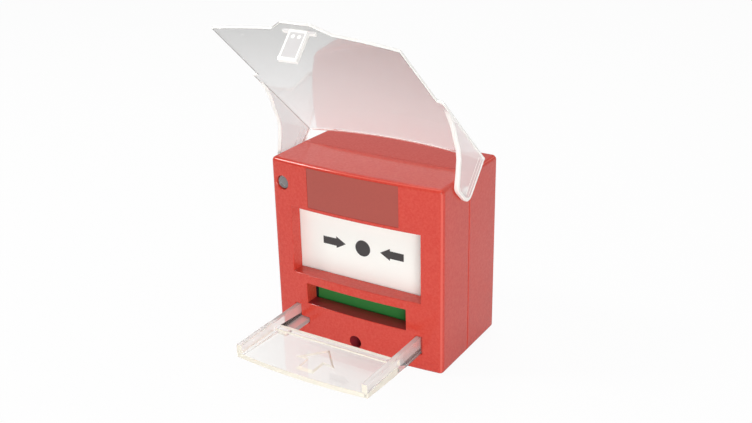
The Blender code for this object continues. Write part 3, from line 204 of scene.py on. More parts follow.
ARM_MARK, ARM_MARK_X, ARM_MARK_D, ARM_MARK_ROOT = 1.7, 1.4, 2.9, 0.5
WING_HALF, WING_REACH, WING_ROUND = 7.5, 1.1, 0.3
ARM_ROOM = 9.0  # half the width that the arm and its wings keep within

# Reset key
KEY_HALF, KEY_WALL = 33.4, 2.8
KEY_FRONT, KEY_FRONT_BOW = -45.0, 2.0
KEY_LOW, KEY_TOP = 8.3, 16.6
KEY_RISE, KEY_END = -12.0, 18.0
PLATE_LOW, PLATE_TOP, PLATE_REAR = 10.4, 12.8, -17.0
LEDGE, LEDGE_HEIGHT = 4.0, 0.8
FOOT_INSIDE, FOOT_START, FOOT_TOP = 25.9, -19.0, 10.6
WAIST, WAIST_START = 0.3, -21.0
PRONG_THINNED = 0.1  # taken off the prongs' inner faces behind the plate
STEP_END = -20.0
WALL_ROOM, FOOT_ROOM = 30.0, 25.0  # faces further out than these are on the walls, or on the feet
ARROW = [(0.0, -22.0), (11.0, -34.4), (4.7, -33.5), (4.7, -43.0)]
ARROW_DEPTH, ARROW_MIDDLE, ARROW_TAPER = 1.7, -32.0, 0.78

# Press panel, its printed marks, status flag and title plate
PANEL_LOW, PANEL_HIGH, PANEL_ROUND = (-34.6, 6.2, 31.75), (34.6, 8.2, 66.65), 0.25
PRINT_FRONT, PRINT_BACK, PRINT_H = 6.14, 6.21, 49.0
DOT, DOT_SIDES = 3.85, 64
PRINTED_ARROW = [(9.0, 0.0), (14.0, 2.85), (14.0, 1.8), (21.0, 1.8)]  # its upper half, from the tip
FLAG_LOW, FLAG_HIGH, FLAG_ROUND = (-25.4, 6.6, 17.1), (25.4, 7.8, 29.2), 0.15
LUG_FROM, LUG_TO, LUG_LOW, LUG_HIGH = 23.2, 25.1, (7.2, 17.25), (9.4, 19.4)
FLAG_PIN, PIN_FROM, PIN_TO, PIN_AT = 2.0, 24.3, 28.4, (8.4, 18.1)
TITLE_MARGIN, TITLE_FRONT, TITLE_BACK, TITLE_ROUND = 0.2, 0.1, 0.5, 0.1

# Coil springs: turns between the closed end turns, the joint that presses each pair, and its travel
SPRING_WIRE, TURN_POINTS, WIRE_POINTS = 0.6, 32, 12
CLOSED_PITCH = 0.64
SPRINGS = (("return_spring", 3, "panel_press", 4.0), ("latch_spring", 4, "latch_push", 4.0))

# Camera of the photograph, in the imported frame
CAMERA_AT = (0.2230, -0.3888, 0.1952)
CAMERA_YAW, CAMERA_PITCH, CAMERA_ROLL = -32.01, 22.73, -1.27
CAMERA_LENS, SENSOR_WIDTH, CLIP_START = 48.8, 36.0, 0.01
RIGHT_DOWN_AHEAD = Matrix(((1, 0, 0), (0, 0, -1), (0, 1, 0)))

# Light: lamps as place, aim, size, power and whether reflections show them
LAMPS = (
    ("front", (0.62, -0.82, 0.12), (0, -0.05, 0), 0.5, 6.8, True),
    ("overhead", (-0.12, 0.25, 1.15), (0, -0.03, 0.04), 0.8, 6.3, False),
    ("edge_light", (-0.68, -0.39, 0.74), (0, -0.05, 0.04), 0.24, 3.1, True),
)
WORLD_LIGHT = 0.27
MIRRORED_FROM, MIRRORED_TO = (-0.2, 0.25), (0.6, 0.45)  # how far back a reflection looks, and the level there
NO_BOUNCE = 0.5  # a ray with fewer bounces than this has had none
CLEAR_BOUNCES = 48  # light runs far inside the clear pieces before it leaves them

# Floor: its share of plain white, which is less where the key shows the shade near the housing
FLOOR_REACH, FLOOR_GREY, FLOOR_ROUGHNESS, FLOOR_MIRRORED = 4.0, (0.9, 0.9, 0.9, 1), 0.9, 0.5
FLOOR_WHITE, UNDER_WHITE = 0.94, 0.3
KEY_SHADE_AT, KEY_SHADE = (0.035, -0.062, 0.0), (0.015, 0.075)

# Patterns of the materials: scales and detail of noise, and how far it moves tone, gloss and height
NOISE_LOW, NOISE_HIGH = 0.3, 0.7  # most of a noise's values lie between these
SPECULAR = 0.42
BROAD, BROAD_DETAIL = 60.0, 3.0
GRAIN_DETAIL, GRAIN_SMOOTHER, GRAIN_ROUGHER, GRAIN_HEIGHT = 2.0, 0.03, 0.05, 0.00005
DRAWN, DRAWN_DETAIL, DRAWN_STRETCH = 4000.0, 3.0, (1.0, 0.08, 1.0)
DRAWN_DARK, DRAWN_LIGHT, DRAWN_SMOOTHER, DRAWN_ROUGHER = 0.8, 1.15, 0.06, 0.1
DRAWN_RELIEF, DRAWN_HEIGHT = 0.1, 0.00004
FLOW, FLOW_DETAIL, FLOW_DARK, FLOW_LIGHT, FLOW_ROUGHER = 40.0, 4.0, 0.985, 1.01, 0.03
FLOW_RELIEF, FLOW_HEIGHT = 0.02, 0.0002
SPECK_CELLS, SPECK_RIM, SPECK_MIDDLE, SPECK_COLOUR = 150.0, 0.09, 0.05, (0.97, 0.97, 0.97)
CLEAR_BEND, KEY_BEND = 1.49, 1.4

# Places of the materials in the lists of the cover, and of the lid and key
PLAIN, SHADE_PAINTED, HIGHLIGHT_PAINTED = range(3)
CLEAR, EDGE, MILKY, LEFT_EDGE_SHADE_PAINTED, FAR_SIDE_SHADE_PAINTED = range(5)


def solid(shape):
    """A bmesh as an object of the scene."""
    bmesh.ops.recalc_face_normals(shape, faces=shape.faces)
    mesh = bpy.data.meshes.new("shape")
    shape.to_mesh(mesh)
    shape.free()
    obj = bpy.data.objects.new("shape", mesh)
    bpy.context.scene.collection.objects.link(obj)
    return obj


def block(low, high):
    """A box between two corners."""
    shape = bmesh.new()
    size = [b - a for a, b in zip(low, high)]
    middle = [(a + b) / 2 for a, b in zip(low, high)]
    place = Matrix.Translation(middle) @ Matrix.Diagonal((*size, 1))
    bmesh.ops.create_cube(shape, size=1.0, matrix=place)
    return solid(shape)


def side_block(side, start, end, low, high):
    """A box on one side of the middle, from start to end across and between two (depth, height) corners."""
    left, right = sorted((side * start, side * end))
    return block((left, *low), (right, *high))


def rod(start, end, diameter, sides=ROUND_SIDES, end_diameter=None):
    """A round bar from one point to another."""
    start = Vector(start)
    run = Vector(end) - start
    turn = run.to_track_quat("Z", "Y").to_matrix().to_4x4()
    shape = bmesh.new()
    bmesh.ops.create_cone(
        shape,
        cap_ends=True,
        segments=sides,
        radius1=diameter / 2,
        radius2=(diameter if end_diameter is None else end_diameter) / 2,
        depth=run.length,
        matrix=Matrix.Translation(start + run / 2) @ turn,
    )
    return solid(shape)


def along(x, h, start, end, diameter, sides=ROUND_SIDES):
    """A round bar in the direction of depth."""
    return rod((x, start, h), (x, end, h), diameter, sides)


def slab(outline, axis, low, high):
    """A flat outline, given in the other two axes, drawn out along an axis from low to high."""
    shape = bmesh.new()
    rings = []
    for w in (low, high):
        places = {"X": lambda u, v: (w, u, v), "Y": lambda u, v: (u, w, v), "Z": lambda u, v: (u, v, w)}
        rings.append([shape.verts.new(places[axis](u, v)) for u, v in outline])
        shape.faces.new(rings[-1])
    for i, (a, b) in enumerate(zip(*rings)):
        j = (i + 1) % len(outline)
        shape.faces.new((a, rings[0][j], rings[1][j], b))
    return solid(shape)


def settle(obj):
    """Makes the modifiers part of the mesh."""
    graph = bpy.context.evaluated_depsgraph_get()
    mesh = bpy.data.meshes.new_from_object(obj.evaluated_get(graph))
    obj.modifiers.clear()
    old = obj.data
    obj.data = mesh
    bpy.data.meshes.remove(old)
    return obj


def combine(operation, obj, others):
    """Fuses others into obj, takes them out of it, or keeps what they share."""
    for other in others:
        step = obj.modifiers.new("combine", "BOOLEAN")
        step.operation = operation
        step.solver = "EXACT"
        step.object = other
    settle(obj)
    for other in others:
        bpy.data.meshes.remove(other.data)
    return obj


def join(obj, *others):
    return combine("UNION", obj, others)


def cut(obj, *others):
    return combine("DIFFERENCE", obj, others)


def soften(obj, radius, segments, chosen):
    """Rounds the outer edges that turn by more than LEAST_TURN and whose middle passes the test."""
    shape = bmesh.new()
    shape.from_mesh(obj.data)
    bmesh.ops.remove_doubles(shape, verts=shape.verts, dist=MERGE_WITHIN)
    bmesh.ops.dissolve_limit(shape, angle_limit=FLAT_WITHIN, verts=shape.verts, edges=shape.edges)
    edges = []
    for edge in shape.edges:
        if not edge.is_manifold or not edge.is_convex:
            continue
        if edge.calc_face_angle(0) < LEAST_TURN:
            continue
        if chosen((edge.verts[0].co + edge.verts[1].co) / 2):
            edges.append(edge)
    bmesh.ops.bevel(
        shape,
        geom=edges,
        offset=radius,
        offset_type="OFFSET",
        segments=segments,
        profile=ROUND_PROFILE,
        affect="EDGES",
        clamp_overlap=False,
    )
    shape.to_mesh(obj.data)
    shape.free()
    return obj


def everywhere(_place):
    return True


def front_depth(x):
    """Depth of the bowed front at x: nothing at the side edges, least in the middle."""
    return BOW_RADIUS - BOW - math.sqrt(BOW_RADIUS**2 - x**2)


def evenly(half):
    """Places from -half to half for the points of a bow."""
    return [half * (2 * i / BOW_STEPS - 1) for i in range(BOW_STEPS + 1)]


def bow(half, offset):
    """Points along the bow from -half to half, moved in by offset."""
    return [(x, front_depth(x) + offset) for x in evenly(half)]


def bowed(half, offset, back, low, high):
    """A block with the front's bow on one side, flat at the back."""
    return slab([*bow(half, offset), (half, back), (-half, back)], "Z", low, high)


def bowed_sheet(half, front, back, low, high):
    """A sheet that follows the bow between two offsets from the front."""
    return slab(bow(half, front) + bow(half, back)[::-1], "Z", low, high)


def rounded(corners):
    """An outline whose corners, given as (u, v, radius), are rounded."""
    points = []
    for i, (u, v, radius) in enumerate(corners):
        here = Vector((u, v))
        before = (Vector(corners[i - 1][:2]) - here).normalized()
        after = (Vector(corners[(i + 1) % len(corners)][:2]) - here).normalized()
        if not radius:
            points.append((u, v))
            continue
        half_turn = before.angle(after) / 2
        reach = radius / math.tan(half_turn)
        middle = here + (before + after).normalized() * radius / math.sin(half_turn)
        first = here + before * reach - middle
        last = here + after * reach - middle
        for k in range(OUTLINE_STEPS + 1):
            spoke = first.slerp(last, k / OUTLINE_STEPS)
            points.append(tuple(middle + spoke))
    return points


def mirrored(right):
    """A closed outline from the points or corners of its right half, top to bottom or the other way."""
    return right + [(-u, *rest) for u, *rest in right[::-1]]


def stadium(middle, length, width):
    """A slot outline with round ends, along its first axis."""
    outline = []
    for side in (1, -1):
        for i in range(FIXING_STEPS + 1):
            turn = math.pi * (i / FIXING_STEPS - 0.5 + (side < 0))
            u = middle[0] + side * (length - width) / 2 + width / 2 * math.cos(turn)
            outline.append((u, middle[1] + width / 2 * math.sin(turn)))
    return outline


def node(tree, kind, **inputs):
    """A shader node with some of its inputs set by name."""
    made = tree.nodes.new(kind)
    for name, value in inputs.items():
        made.inputs[name.replace("_", " ")].default_value = value
    return made


def noise(tree, place, scale, detail):
    made = node(tree, "ShaderNodeTexNoise", Scale=scale, Detail=detail)
    tree.links.new(place, made.inputs["Vector"])
    return made.outputs["Fac"]


def spread_over(tree, value, start, end, low, high):
    """A value that runs from start to end, spread over low to high."""
    made = node(tree, "ShaderNodeMapRange", From_Min=start, From_Max=end, To_Min=low, To_Max=high)
    tree.links.new(value, made.inputs["Value"])
    return made.outputs["Result"]


def between(tree, noise_value, low, high):
    """A noise spread over low to high."""
    return spread_over(tree, noise_value, NOISE_LOW, NOISE_HIGH, low, high)


def mix(tree, share, first, second):
    """A colour between two, by a share from a node."""
    made = tree.nodes.new("ShaderNodeMix")
    made.data_type = "RGBA"
    tree.links.new(share, made.inputs["Factor"])
    for socket, colour in ((made.inputs["A"], first), (made.inputs["B"], second)):
        if isinstance(colour, tuple):
            socket.default_value = (*colour, 1)
        else:
            tree.links.new(colour, socket)
    return made.outputs["Result"]


def maths(tree, operation, *values):
    """The result of a sum on numbers and on other nodes' results."""
    made = tree.nodes.new("ShaderNodeMath")
    made.operation = operation
    for socket, value in zip(made.inputs, values):
        if isinstance(value, (int, float)):
            socket.default_value = value
        else:
            tree.links.new(value, socket)
    return made.outputs[0]


def vector_maths(tree, operation, place, vector):
    """The number that a place and a fixed vector give."""
    made = tree.nodes.new("ShaderNodeVectorMath")
    made.operation = operation
    tree.links.new(place, made.inputs[0])
    made.inputs[1].default_value = vector
    return made.outputs["Value"]


def start_material(name):
    """A material with its node tree, shader, and the place on the object that patterns read."""
    material = bpy.data.materials.new(name)
    material.use_nodes = True
    tree = material.node_tree
    shader = tree.nodes["Principled BSDF"]
    shader.inputs["Specular IOR Level"].default_value = SPECULAR
    place = tree.nodes.new("ShaderNodeTexCoord").outputs["Object"]
    return material, tree, shader, place


def shade(colour, by):
    return tuple(min(1.0, c * by) for c in colour)


def bump(tree, shader, height, strength, distance):
    made = node(tree, "ShaderNodeBump", Strength=strength, Distance=distance)
    tree.links.new(height, made.inputs["Height"])
    tree.links.new(made.outputs["Normal"], shader.inputs["Normal"])


def moulded(name, colour, roughness, grain=3500.0, relief=0.06, spread=0.05, speckle=None):
    """Moulded plastic: a fine grain in its colour, relief and gloss, and broad faint changes of colour."""
    material, tree, shader, place = start_material(name)
    broad = noise(tree, place, BROAD, BROAD_DETAIL)
    fine = noise(tree, place, grain, GRAIN_DETAIL)
    tone = mix(tree, broad, shade(colour, 1 - spread), shade(colour, 1 + spread))
    tone = mix(tree, between(tree, fine, 0.0, 1.0), tone, speckle or shade(colour, 1 - spread))
    tree.links.new(tone, shader.inputs["Base Color"])
    gloss = between(tree, fine, roughness - GRAIN_SMOOTHER, roughness + GRAIN_ROUGHER)
    tree.links.new(gloss, shader.inputs["Roughness"])
    bump(tree, shader, fine, relief, GRAIN_HEIGHT)
    return material


def steel(name, colour, roughness):
    """Plated steel with drawing marks."""
    material, tree, shader, place = start_material(name)
    stretch = node(tree, "ShaderNodeMapping", Scale=DRAWN_STRETCH)
    tree.links.new(place, stretch.inputs["Vector"])
    marks = noise(tree, stretch.outputs["Vector"], DRAWN, DRAWN_DETAIL)
    tone = mix(tree, marks, shade(colour, DRAWN_DARK), shade(colour, DRAWN_LIGHT))
    tree.links.new(tone, shader.inputs["Base Color"])
    gloss = between(tree, marks, roughness - DRAWN_SMOOTHER, roughness + DRAWN_ROUGHER)
    tree.links.new(gloss, shader.inputs["Roughness"])
    shader.inputs["Metallic"].default_value = 1.0
    bump(tree, shader, marks, DRAWN_RELIEF, DRAWN_HEIGHT)
    return material


def clear(name, colour, roughness, transmission, hinge_colour=None, bend=CLEAR_BEND):
    """Clear plastic with faint flow marks and specks of dust.

    Painted shade may darken it along the open lid, from a paler colour at the hinge to its own at the free
    edge. The bend is its index of refraction.
    """
    material, tree, shader, place = start_material(name)
    flow = noise(tree, place, FLOW, FLOW_DETAIL)
    cells = node(tree, "ShaderNodeTexVoronoi", Scale=SPECK_CELLS)
    tree.links.new(place, cells.inputs["Vector"])
    specks = spread_over(tree, cells.outputs["Distance"], SPECK_RIM, SPECK_MIDDLE, 0.0, 1.0)
    tint = mix(tree, flow, shade(colour, FLOW_DARK), shade(colour, FLOW_LIGHT))
    # painted shade: the open lid darkens from the hinge towards its free edge
    if hinge_colour:
        down_the_lid = (0, math.sin(LID_ANGLE), -math.cos(LID_ANGLE))
        reach = vector_maths(tree, "DOT_PRODUCT", place, down_the_lid)
        tint = mix(tree, spread_over(tree, reach, *LID_PAINTED_SHADE_SPAN, 0.0, 1.0), hinge_colour, tint)
    tree.links.new(mix(tree, specks, tint, SPECK_COLOUR), shader.inputs["Base Color"])
    gloss = between(tree, flow, roughness, roughness + FLOW_ROUGHER)
    tree.links.new(gloss, shader.inputs["Roughness"])
    shader.inputs["Transmission Weight"].default_value = transmission
    shader.inputs["IOR"].default_value = bend
    bump(tree, shader, flow, FLOW_RELIEF, FLOW_HEIGHT)
    return material


def show(obj, name, body, slot, materials, *nodes):
    """Makes a shape a piece of the object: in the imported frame, smooth, and riding on a body."""
    obj.name = name
    mesh = obj.data
    mesh.name = name
    mesh.transform(TO_FRAME)
    for material in materials:
        mesh.materials.append(material)
    for face in mesh.polygons:
        face.use_smooth = True
    mesh.set_sharp_from_angle(angle=SHARP_ANGLE)
    even = obj.modifiers.new("even_shading", "WEIGHTED_NORMAL")
    even.keep_sharp = True
    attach(obj, body)
    if nodes:
        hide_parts(*nodes)
    return obj


def opening(room, wall=0.0):
    """A straight block through the front for an opening, or the walls that line it."""
    half, low, high = room
    if wall:
        return bowed(half + wall, WALL / 2, TUNNEL_END, low - wall, high + wall)
    return block((-half, -BOW - OVER, low), (half, TUNNEL_END + OVER, high))


def key_slots():
    """Cutters for the L-shaped slots of the key's prongs."""
    cutters = []
    for side in SIDES:
        for start, end, top in SLOT_PARTS:
            cutters.append(side_block(side, start, end, (-BOW - OVER, SLOT_LOW), (SEAM - LIP_REACH, top)))
    return cutters


def front_cover():
    """The bowed front shell with its openings, slots, screw well and bosses."""
    cover = bowed(HALF, 0, SEAM, 0, HEIGHT)
    soften(cover, CORNER, CORNER_STEPS, lambda p: p.y < SEAM - NEAR)
    cut(cover, bowed(INNER, WALL, SEAM + OVER, WALL, HEIGHT - WALL))
    join(cover, opening(PRESS, TUNNEL_WALL), opening(FLAG, TUNNEL_WALL))
    join(cover, along(0, SCREW_H, WALL / 2 - BOW, WELL_END, WELL_TUBE))
    join(cover, *[along(x, h, front_depth(x) + WALL / 2, BOSS_END, BOSS, SMALL_SIDES) for x, h in BOSSES])
    cut(cover, *[along(x, h, BOSS_BORE_START, BOSS_BORE_END, BOSS_BORE, SMALL_SIDES) for x, h in BOSSES])
    cut(cover, opening(PRESS), opening(FLAG), *key_slots())
    well = along(0, SCREW_H, -BOW - OVER, WELL_SEAT, WELL)
    cut(cover, well, along(0, SCREW_H, SCREW_BORE_START, WELL_END + OVER, SCREW_BORE, SMALL_SIDES))
    cut(cover, along(LENS_X, LENS_H, -BOW - OVER, LENS_HOLE_END, LENS_HOLE))
    cut(cover, rod((-HALF - OVER, *LID_PIN[1:]), (HALF + OVER, *LID_PIN[1:]), LID_PIN_HOLE))
    soften(cover, OPENING_ROUND, ROUND_STEPS, lambda p: p.y < OPENINGS_BACK and abs(p.x) < OPENINGS_HALF)
    half, low, high = TITLE
    cut(cover, bowed_sheet(half + TITLE_GAP, -OVER, TITLE_SINK, low - TITLE_GAP, high + TITLE_GAP))
    for side in SIDES:
        band_end = (SEAM + OVER, HEIGHT + OVER)
        cut(cover, side_block(side, HALF - BAND_RECESS, HALF + OVER, (BAND_START, -OVER), band_end))
    rebate = (-HALF + LIP_GAP, SEAM - LIP_REACH - LIP_FIT, LIP_GAP)
    cut(cover, block(rebate, (HALF - LIP_GAP, SEAM + OVER, HEIGHT - LIP_GAP)))
    soften(cover, SEAM_TOP_ROUND, ROUND_STEPS, lambda p: p.y > SEAM - NEAR and p.z > SEAM_TOP)
    soften(cover, SEAM_ROUND, FINE_STEPS, lambda p: p.y > SEAM - STEP and p.z < SEAM_TOP)
    for face in cover.data.polygons:
        x, d, h = face.center
        # the screw well's wall and the flag tunnel's floor get a darker red: painted shade
        in_well = d > WELL_SHADE and math.hypot(x, h - SCREW_H) < WELL / 2 + STEP
        on_flag_floor = face.normal.z > FACING and abs(x) < FLAG[0] and abs(h - FLAG[1]) < NEAR
        # the middle of the rounded outer edges of the front gets a lighter red: a painted highlight
        across = face.normal.z if h > HEIGHT - CORNER else abs(face.normal.x)
        rim = h > HEIGHT - CORNER or abs(x) > HALF - CORNER
        if rim and min(across, -face.normal.y) > HIGHLIGHT_SLOPE:
            face.material_index = HIGHLIGHT_PAINTED
        else:
            face.material_index = SHADE_PAINTED if in_well or on_flag_floor else PLAIN
    return cover


def back_box():
    """The box on the wall: a lip for the cover, screw boss, latch pegs, cable hole, slots and a sunk back."""
    box = block((-HALF, BOX_FRONT, 0), (HALF, DEPTH, HEIGHT))
    for vertex in box.data.vertices:
        if vertex.co.z > HEIGHT / 2 and vertex.co.y > (BOX_FRONT + DEPTH) / 2:
            vertex.co.z -= BOX_DRAFT
    soften(box, CORNER, CORNER_STEPS, lambda p: BOX_FRONT + OVER < p.y < DEPTH - OVER)
    soften(box, BACK_ROUND, ROUND_STEPS, lambda p: p.y > DEPTH - NEAR)
    lip = HALF - LIP_GAP - LIP_FIT
    lip_low = (-lip, SEAM - LIP_REACH, LIP_GAP + LIP_FIT)
    join(box, block(lip_low, (lip, BOX_FRONT + OVER, HEIGHT - LIP_GAP - LIP_FIT)))
    room_low = (-INNER, SEAM - LIP_REACH - OVER, WALL)
    cut(box, block(room_low, (INNER, BACK_INSIDE, HEIGHT - WALL - BOX_DRAFT)))
    join(box, along(0, SCREW_H, BOX_FRONT, DEPTH - WALL / 2, SCREW_BOSS))
    for x, h in LATCH_PEGS:
        collar = along(x, h, COLLAR_START, DEPTH - WALL / 2, PEG_COLLAR)
        join(box, collar, along(x, h, PEG_START, COLLAR_START + OVER, PEG, SMALL_SIDES))
    bore = along(0, SCREW_H, SEAM, BOX_BORE_END, SCREW_BORE, SMALL_SIDES)
    cut(box, bore, along(0, CABLE_HOLE_H, BACK_INSIDE - OVER, DEPTH + OVER, CABLE_HOLE))
    edge = HALF - BACK_RIM
    corners = [(edge, BACK_RIM, BACK_CORNER), (edge, HEIGHT - BOX_DRAFT - BACK_RIM, BACK_CORNER)]
    cut(box, slab(rounded(mirrored(corners)), "Y", DEPTH - BACK_SUNK, DEPTH + OVER))
    slots = []
    for side in SIDES:
        outline = stadium((side * FIXING_X, HEIGHT / 2), FIXING_LENGTH, FIXING_WIDTH)
        slots.append(slab(outline, "Y", BACK_INSIDE - OVER, DEPTH + OVER))
    cut(box, *slots)
    soften(box, FINE_ROUND, FINE_STEPS, lambda p: p.y > DEPTH - BACK_SUNK - NEAR and abs(p.x) < edge - OVER)
    ring_start = DEPTH - BACK_SUNK - KNOCKOUT_DEPTH
    ring_size = KNOCKOUT + 2 * KNOCKOUT_GROOVE
    ring = along(0, KNOCKOUT_H, ring_start, DEPTH + OVER, ring_size, KNOCKOUT_SIDES)
    cut(ring, along(0, KNOCKOUT_H, DEPTH - OVER, DEPTH + 2 * OVER, KNOCKOUT, KNOCKOUT_SIDES))
    cut(box, ring)
    # the middle of the box's upper side edges and the seam's ledge get a lighter red: a painted highlight
    for face in box.data.polygons:
        x, d, h = face.center
        outer = abs(x) > HALF - CORNER and h > HEIGHT - CORNER - BOX_DRAFT
        highlighted = outer and min(abs(face.normal.x), face.normal.z) > HIGHLIGHT_SLOPE
        ledge = face.normal.y < -FACING and SEAM - NEAR < d < SEAM
        face.material_index = int(highlighted or ledge)
    return box


def lid_finish(lid):
    """Picks the lid's materials: clear, edges with painted light, milky arm and near ear, painted shade on
    left edge and far ear.
    """
    arm_low = ARM_TOP - ARM_THICK
    for face in lid.data.polygons:
        x, d, h = face.center
        behind = d > front_depth(x) - LID_GAP + INNER_GAP
        on_ear = abs(x) > EAR_IN - NEAR
        if on_ear and behind:
            outer = face.normal.x * x > 0
            flat = abs(face.normal.x) > FACING
            if not flat or outer and abs(x) >= EAR_OUT - RIM / 2:
                face.material_index = EDGE
            elif outer:
                # the far ear's outer face gets painted shade
                face.material_index = MILKY if x > 0 else FAR_SIDE_SHADE_PAINTED
            else:
                face.material_index = CLEAR
        elif h < ARM_TOP and d > LID_FRONT + NEAR and abs(x) < ARM_ROOM:
            if face.normal.z < -FACING and arm_low + RIM / 2 < h < arm_low + FINE_ROUND:
                face.material_index = MILKY
            else:
                face.material_index = CLEAR if face.normal.z > FACING else EDGE
        else:
            on_bead = h > HEIGHT - BEAD_ROOM and behind
            ear_end = on_ear and face.normal.y > 0
            if abs(face.normal.y) > SHEET_SLOPE and not on_bead and not ear_end:
                face.material_index = CLEAR
            else:
                # left-facing edges get painted shade, the other edges painted light
                face.material_index = LEFT_EDGE_SHADE_PAINTED if face.normal.x < -SIDE_SLOPE and x < 0 else EDGE


def lid_ear(side):
    """A side wing of the lid with its rim, raised lines and hinge stud."""
    inside = -LID_GAP - LID_THICK / 2
    outline = [(inside, HEIGHT - STEP)] + [(d, HEIGHT - fall) for d, fall in EAR_EDGE]
    outline += [(-LID_GAP - STEP, EAR_FOOT + STEP), (inside, EAR_FOOT + STEP)]
    ear = slab(outline, "X", *sorted((side * EAR_IN, side * EAR_OUT)))
    soften(ear, LID_ROUND, ROUND_STEPS, lambda p: p.y > EAR_ROUND_START)
    field = [(d, HEIGHT - fall) for d, fall in EAR_FIELD]
    cut(ear, slab(field, "X", *sorted((side * (EAR_OUT - RIM), side * (EAR_OUT + OVER)))))
    for fall in EAR_LINES:
        low = (EAR_LINE_START, HEIGHT - fall - EAR_LINE_HALF)
        high = (EAR_LINE_END, HEIGHT - fall + EAR_LINE_HALF)
        join(ear, side_block(side, EAR_OUT - OVER, EAR_OUT - LINE_SINK, low, high))
    tip = (side * LID_STUD_TIP, *LID_PIN[1:])
    return join(ear, rod((side * (EAR_IN + OVER), *LID_PIN[1:]), tip, LID_STUD))


def latch_arm():
    """The catch that reaches into the housing from the lid's tab."""
    root = LID_FRONT - LID_THICK / 2
    low = ARM_TOP - ARM_THICK
    end = LID_FRONT + ARM_REACH
    arm = block((-ARM_HALF, root, low), (ARM_HALF, end, ARM_TOP - STEP))
    soften(arm, LID_ROUND, ROUND_STEPS, lambda p: p.y > LID_FRONT)
    field_low = (-ARM_FIELD_HALF, LID_FRONT + ARM_FIELD_START, low - OVER)
    cut(arm, block(field_low, (ARM_FIELD_HALF, end - ARM_FIELD_MARGIN, low + RIM)))
    marks = []
    for x in (-ARM_MARK_X, ARM_MARK_X):
        d = LID_FRONT + ARM_MARK_D
        marks.append(rod((x, d, low + ARM_MARK_ROOT), (x, d, low + LINE_SINK), ARM_MARK, SMALL_SIDES))
    join(arm, *marks)
    wings_high = (WING_HALF, LID_FRONT + WING_REACH, ARM_TOP - 2 * STEP)
    wings = block((-WING_HALF, root, low + STEP), wings_high)
    return join(arm, soften(wings, WING_ROUND, FINE_STEPS, lambda p: p.y > LID_FRONT))


def clear_lid():
    """The lid: a bowed sheet with a tab, ears, a latch arm and a bead along the hinge edge, turned open."""
    outside = -LID_GAP - LID_THICK
    lid = bowed_sheet(EAR_OUT, outside, -LID_GAP, LID_LOW - SHEET_REACH, HEIGHT)
    beyond = EAR_OUT + 2 * OVER
    right = [(beyond, HEIGHT + OVER, 0), (beyond, LID_LOW, 0)]
    for (half, radius), h in ((TAB_ROOT, LID_LOW), (TAB_END, LID_LOW - TAB_REACH)):
        right.append((half, h, radius))
    combine("INTERSECT", lid, [slab(rounded(mirrored(right)), "Y", *LID_TRIM)])
    front, back = LID_TRIM
    low, high = (front, LID_LOW - OVER), (back, EAR_FOOT)
    cut(lid, *[side_block(side, LID_HALF, EAR_OUT + OVER, low, high) for side in SIDES])
    soften(lid, LID_ROUND, ROUND_STEPS, everywhere)
    bead_low, bead_high = [HEIGHT - fall for fall in BEAD_FALL]
    bead = bowed_sheet(BEAD_HALF, -LID_GAP - BEAD_ROOT, -LID_GAP + BEAD_RISE, bead_low, bead_high)
    join(lid, lid_ear(-1), lid_ear(1), latch_arm(), bead)
    lid_finish(lid)
    turn = Matrix.Rotation(LID_ANGLE, 4, "X")
    lid.data.transform(Matrix.Translation(LID_PIN) @ turn @ Matrix.Translation(-LID_PIN))
    return lid


def key_finish(key):
    """Picks the key's materials: clear faces, pale edges and arrow sides, milky walls and feet."""
    for face in key.data.polygons:
        x, d, h = face.center
        facing_side = abs(face.normal.x) > FACING
        facing_up = face.normal.z > FACING
        flat = facing_side or abs(face.normal.z) > FACING
        on_rim = abs(x) > KEY_HALF - RIM / 2 and h < PLATE_TOP
        in_arrow = abs(x) < ARROW[1][0] and PLATE_LOW + NEAR < h < PLATE_LOW + ARROW_DEPTH - NEAR
        inner = face.normal.x * x < 0
        on_wall = facing_side and abs(x) > WALL_ROOM and (d < PLATE_REAR or inner)
        foot_side = FOOT_ROOM < abs(x) < FOOT_INSIDE + FINE_ROUND
        on_foot = d > PLATE_REAR and (facing_up and abs(x) > FOOT_ROOM or foot_side)
        if not flat or on_rim or in_arrow:
            face.material_index = EDGE
        else:
            face.material_index = MILKY if on_wall or on_foot else CLEAR


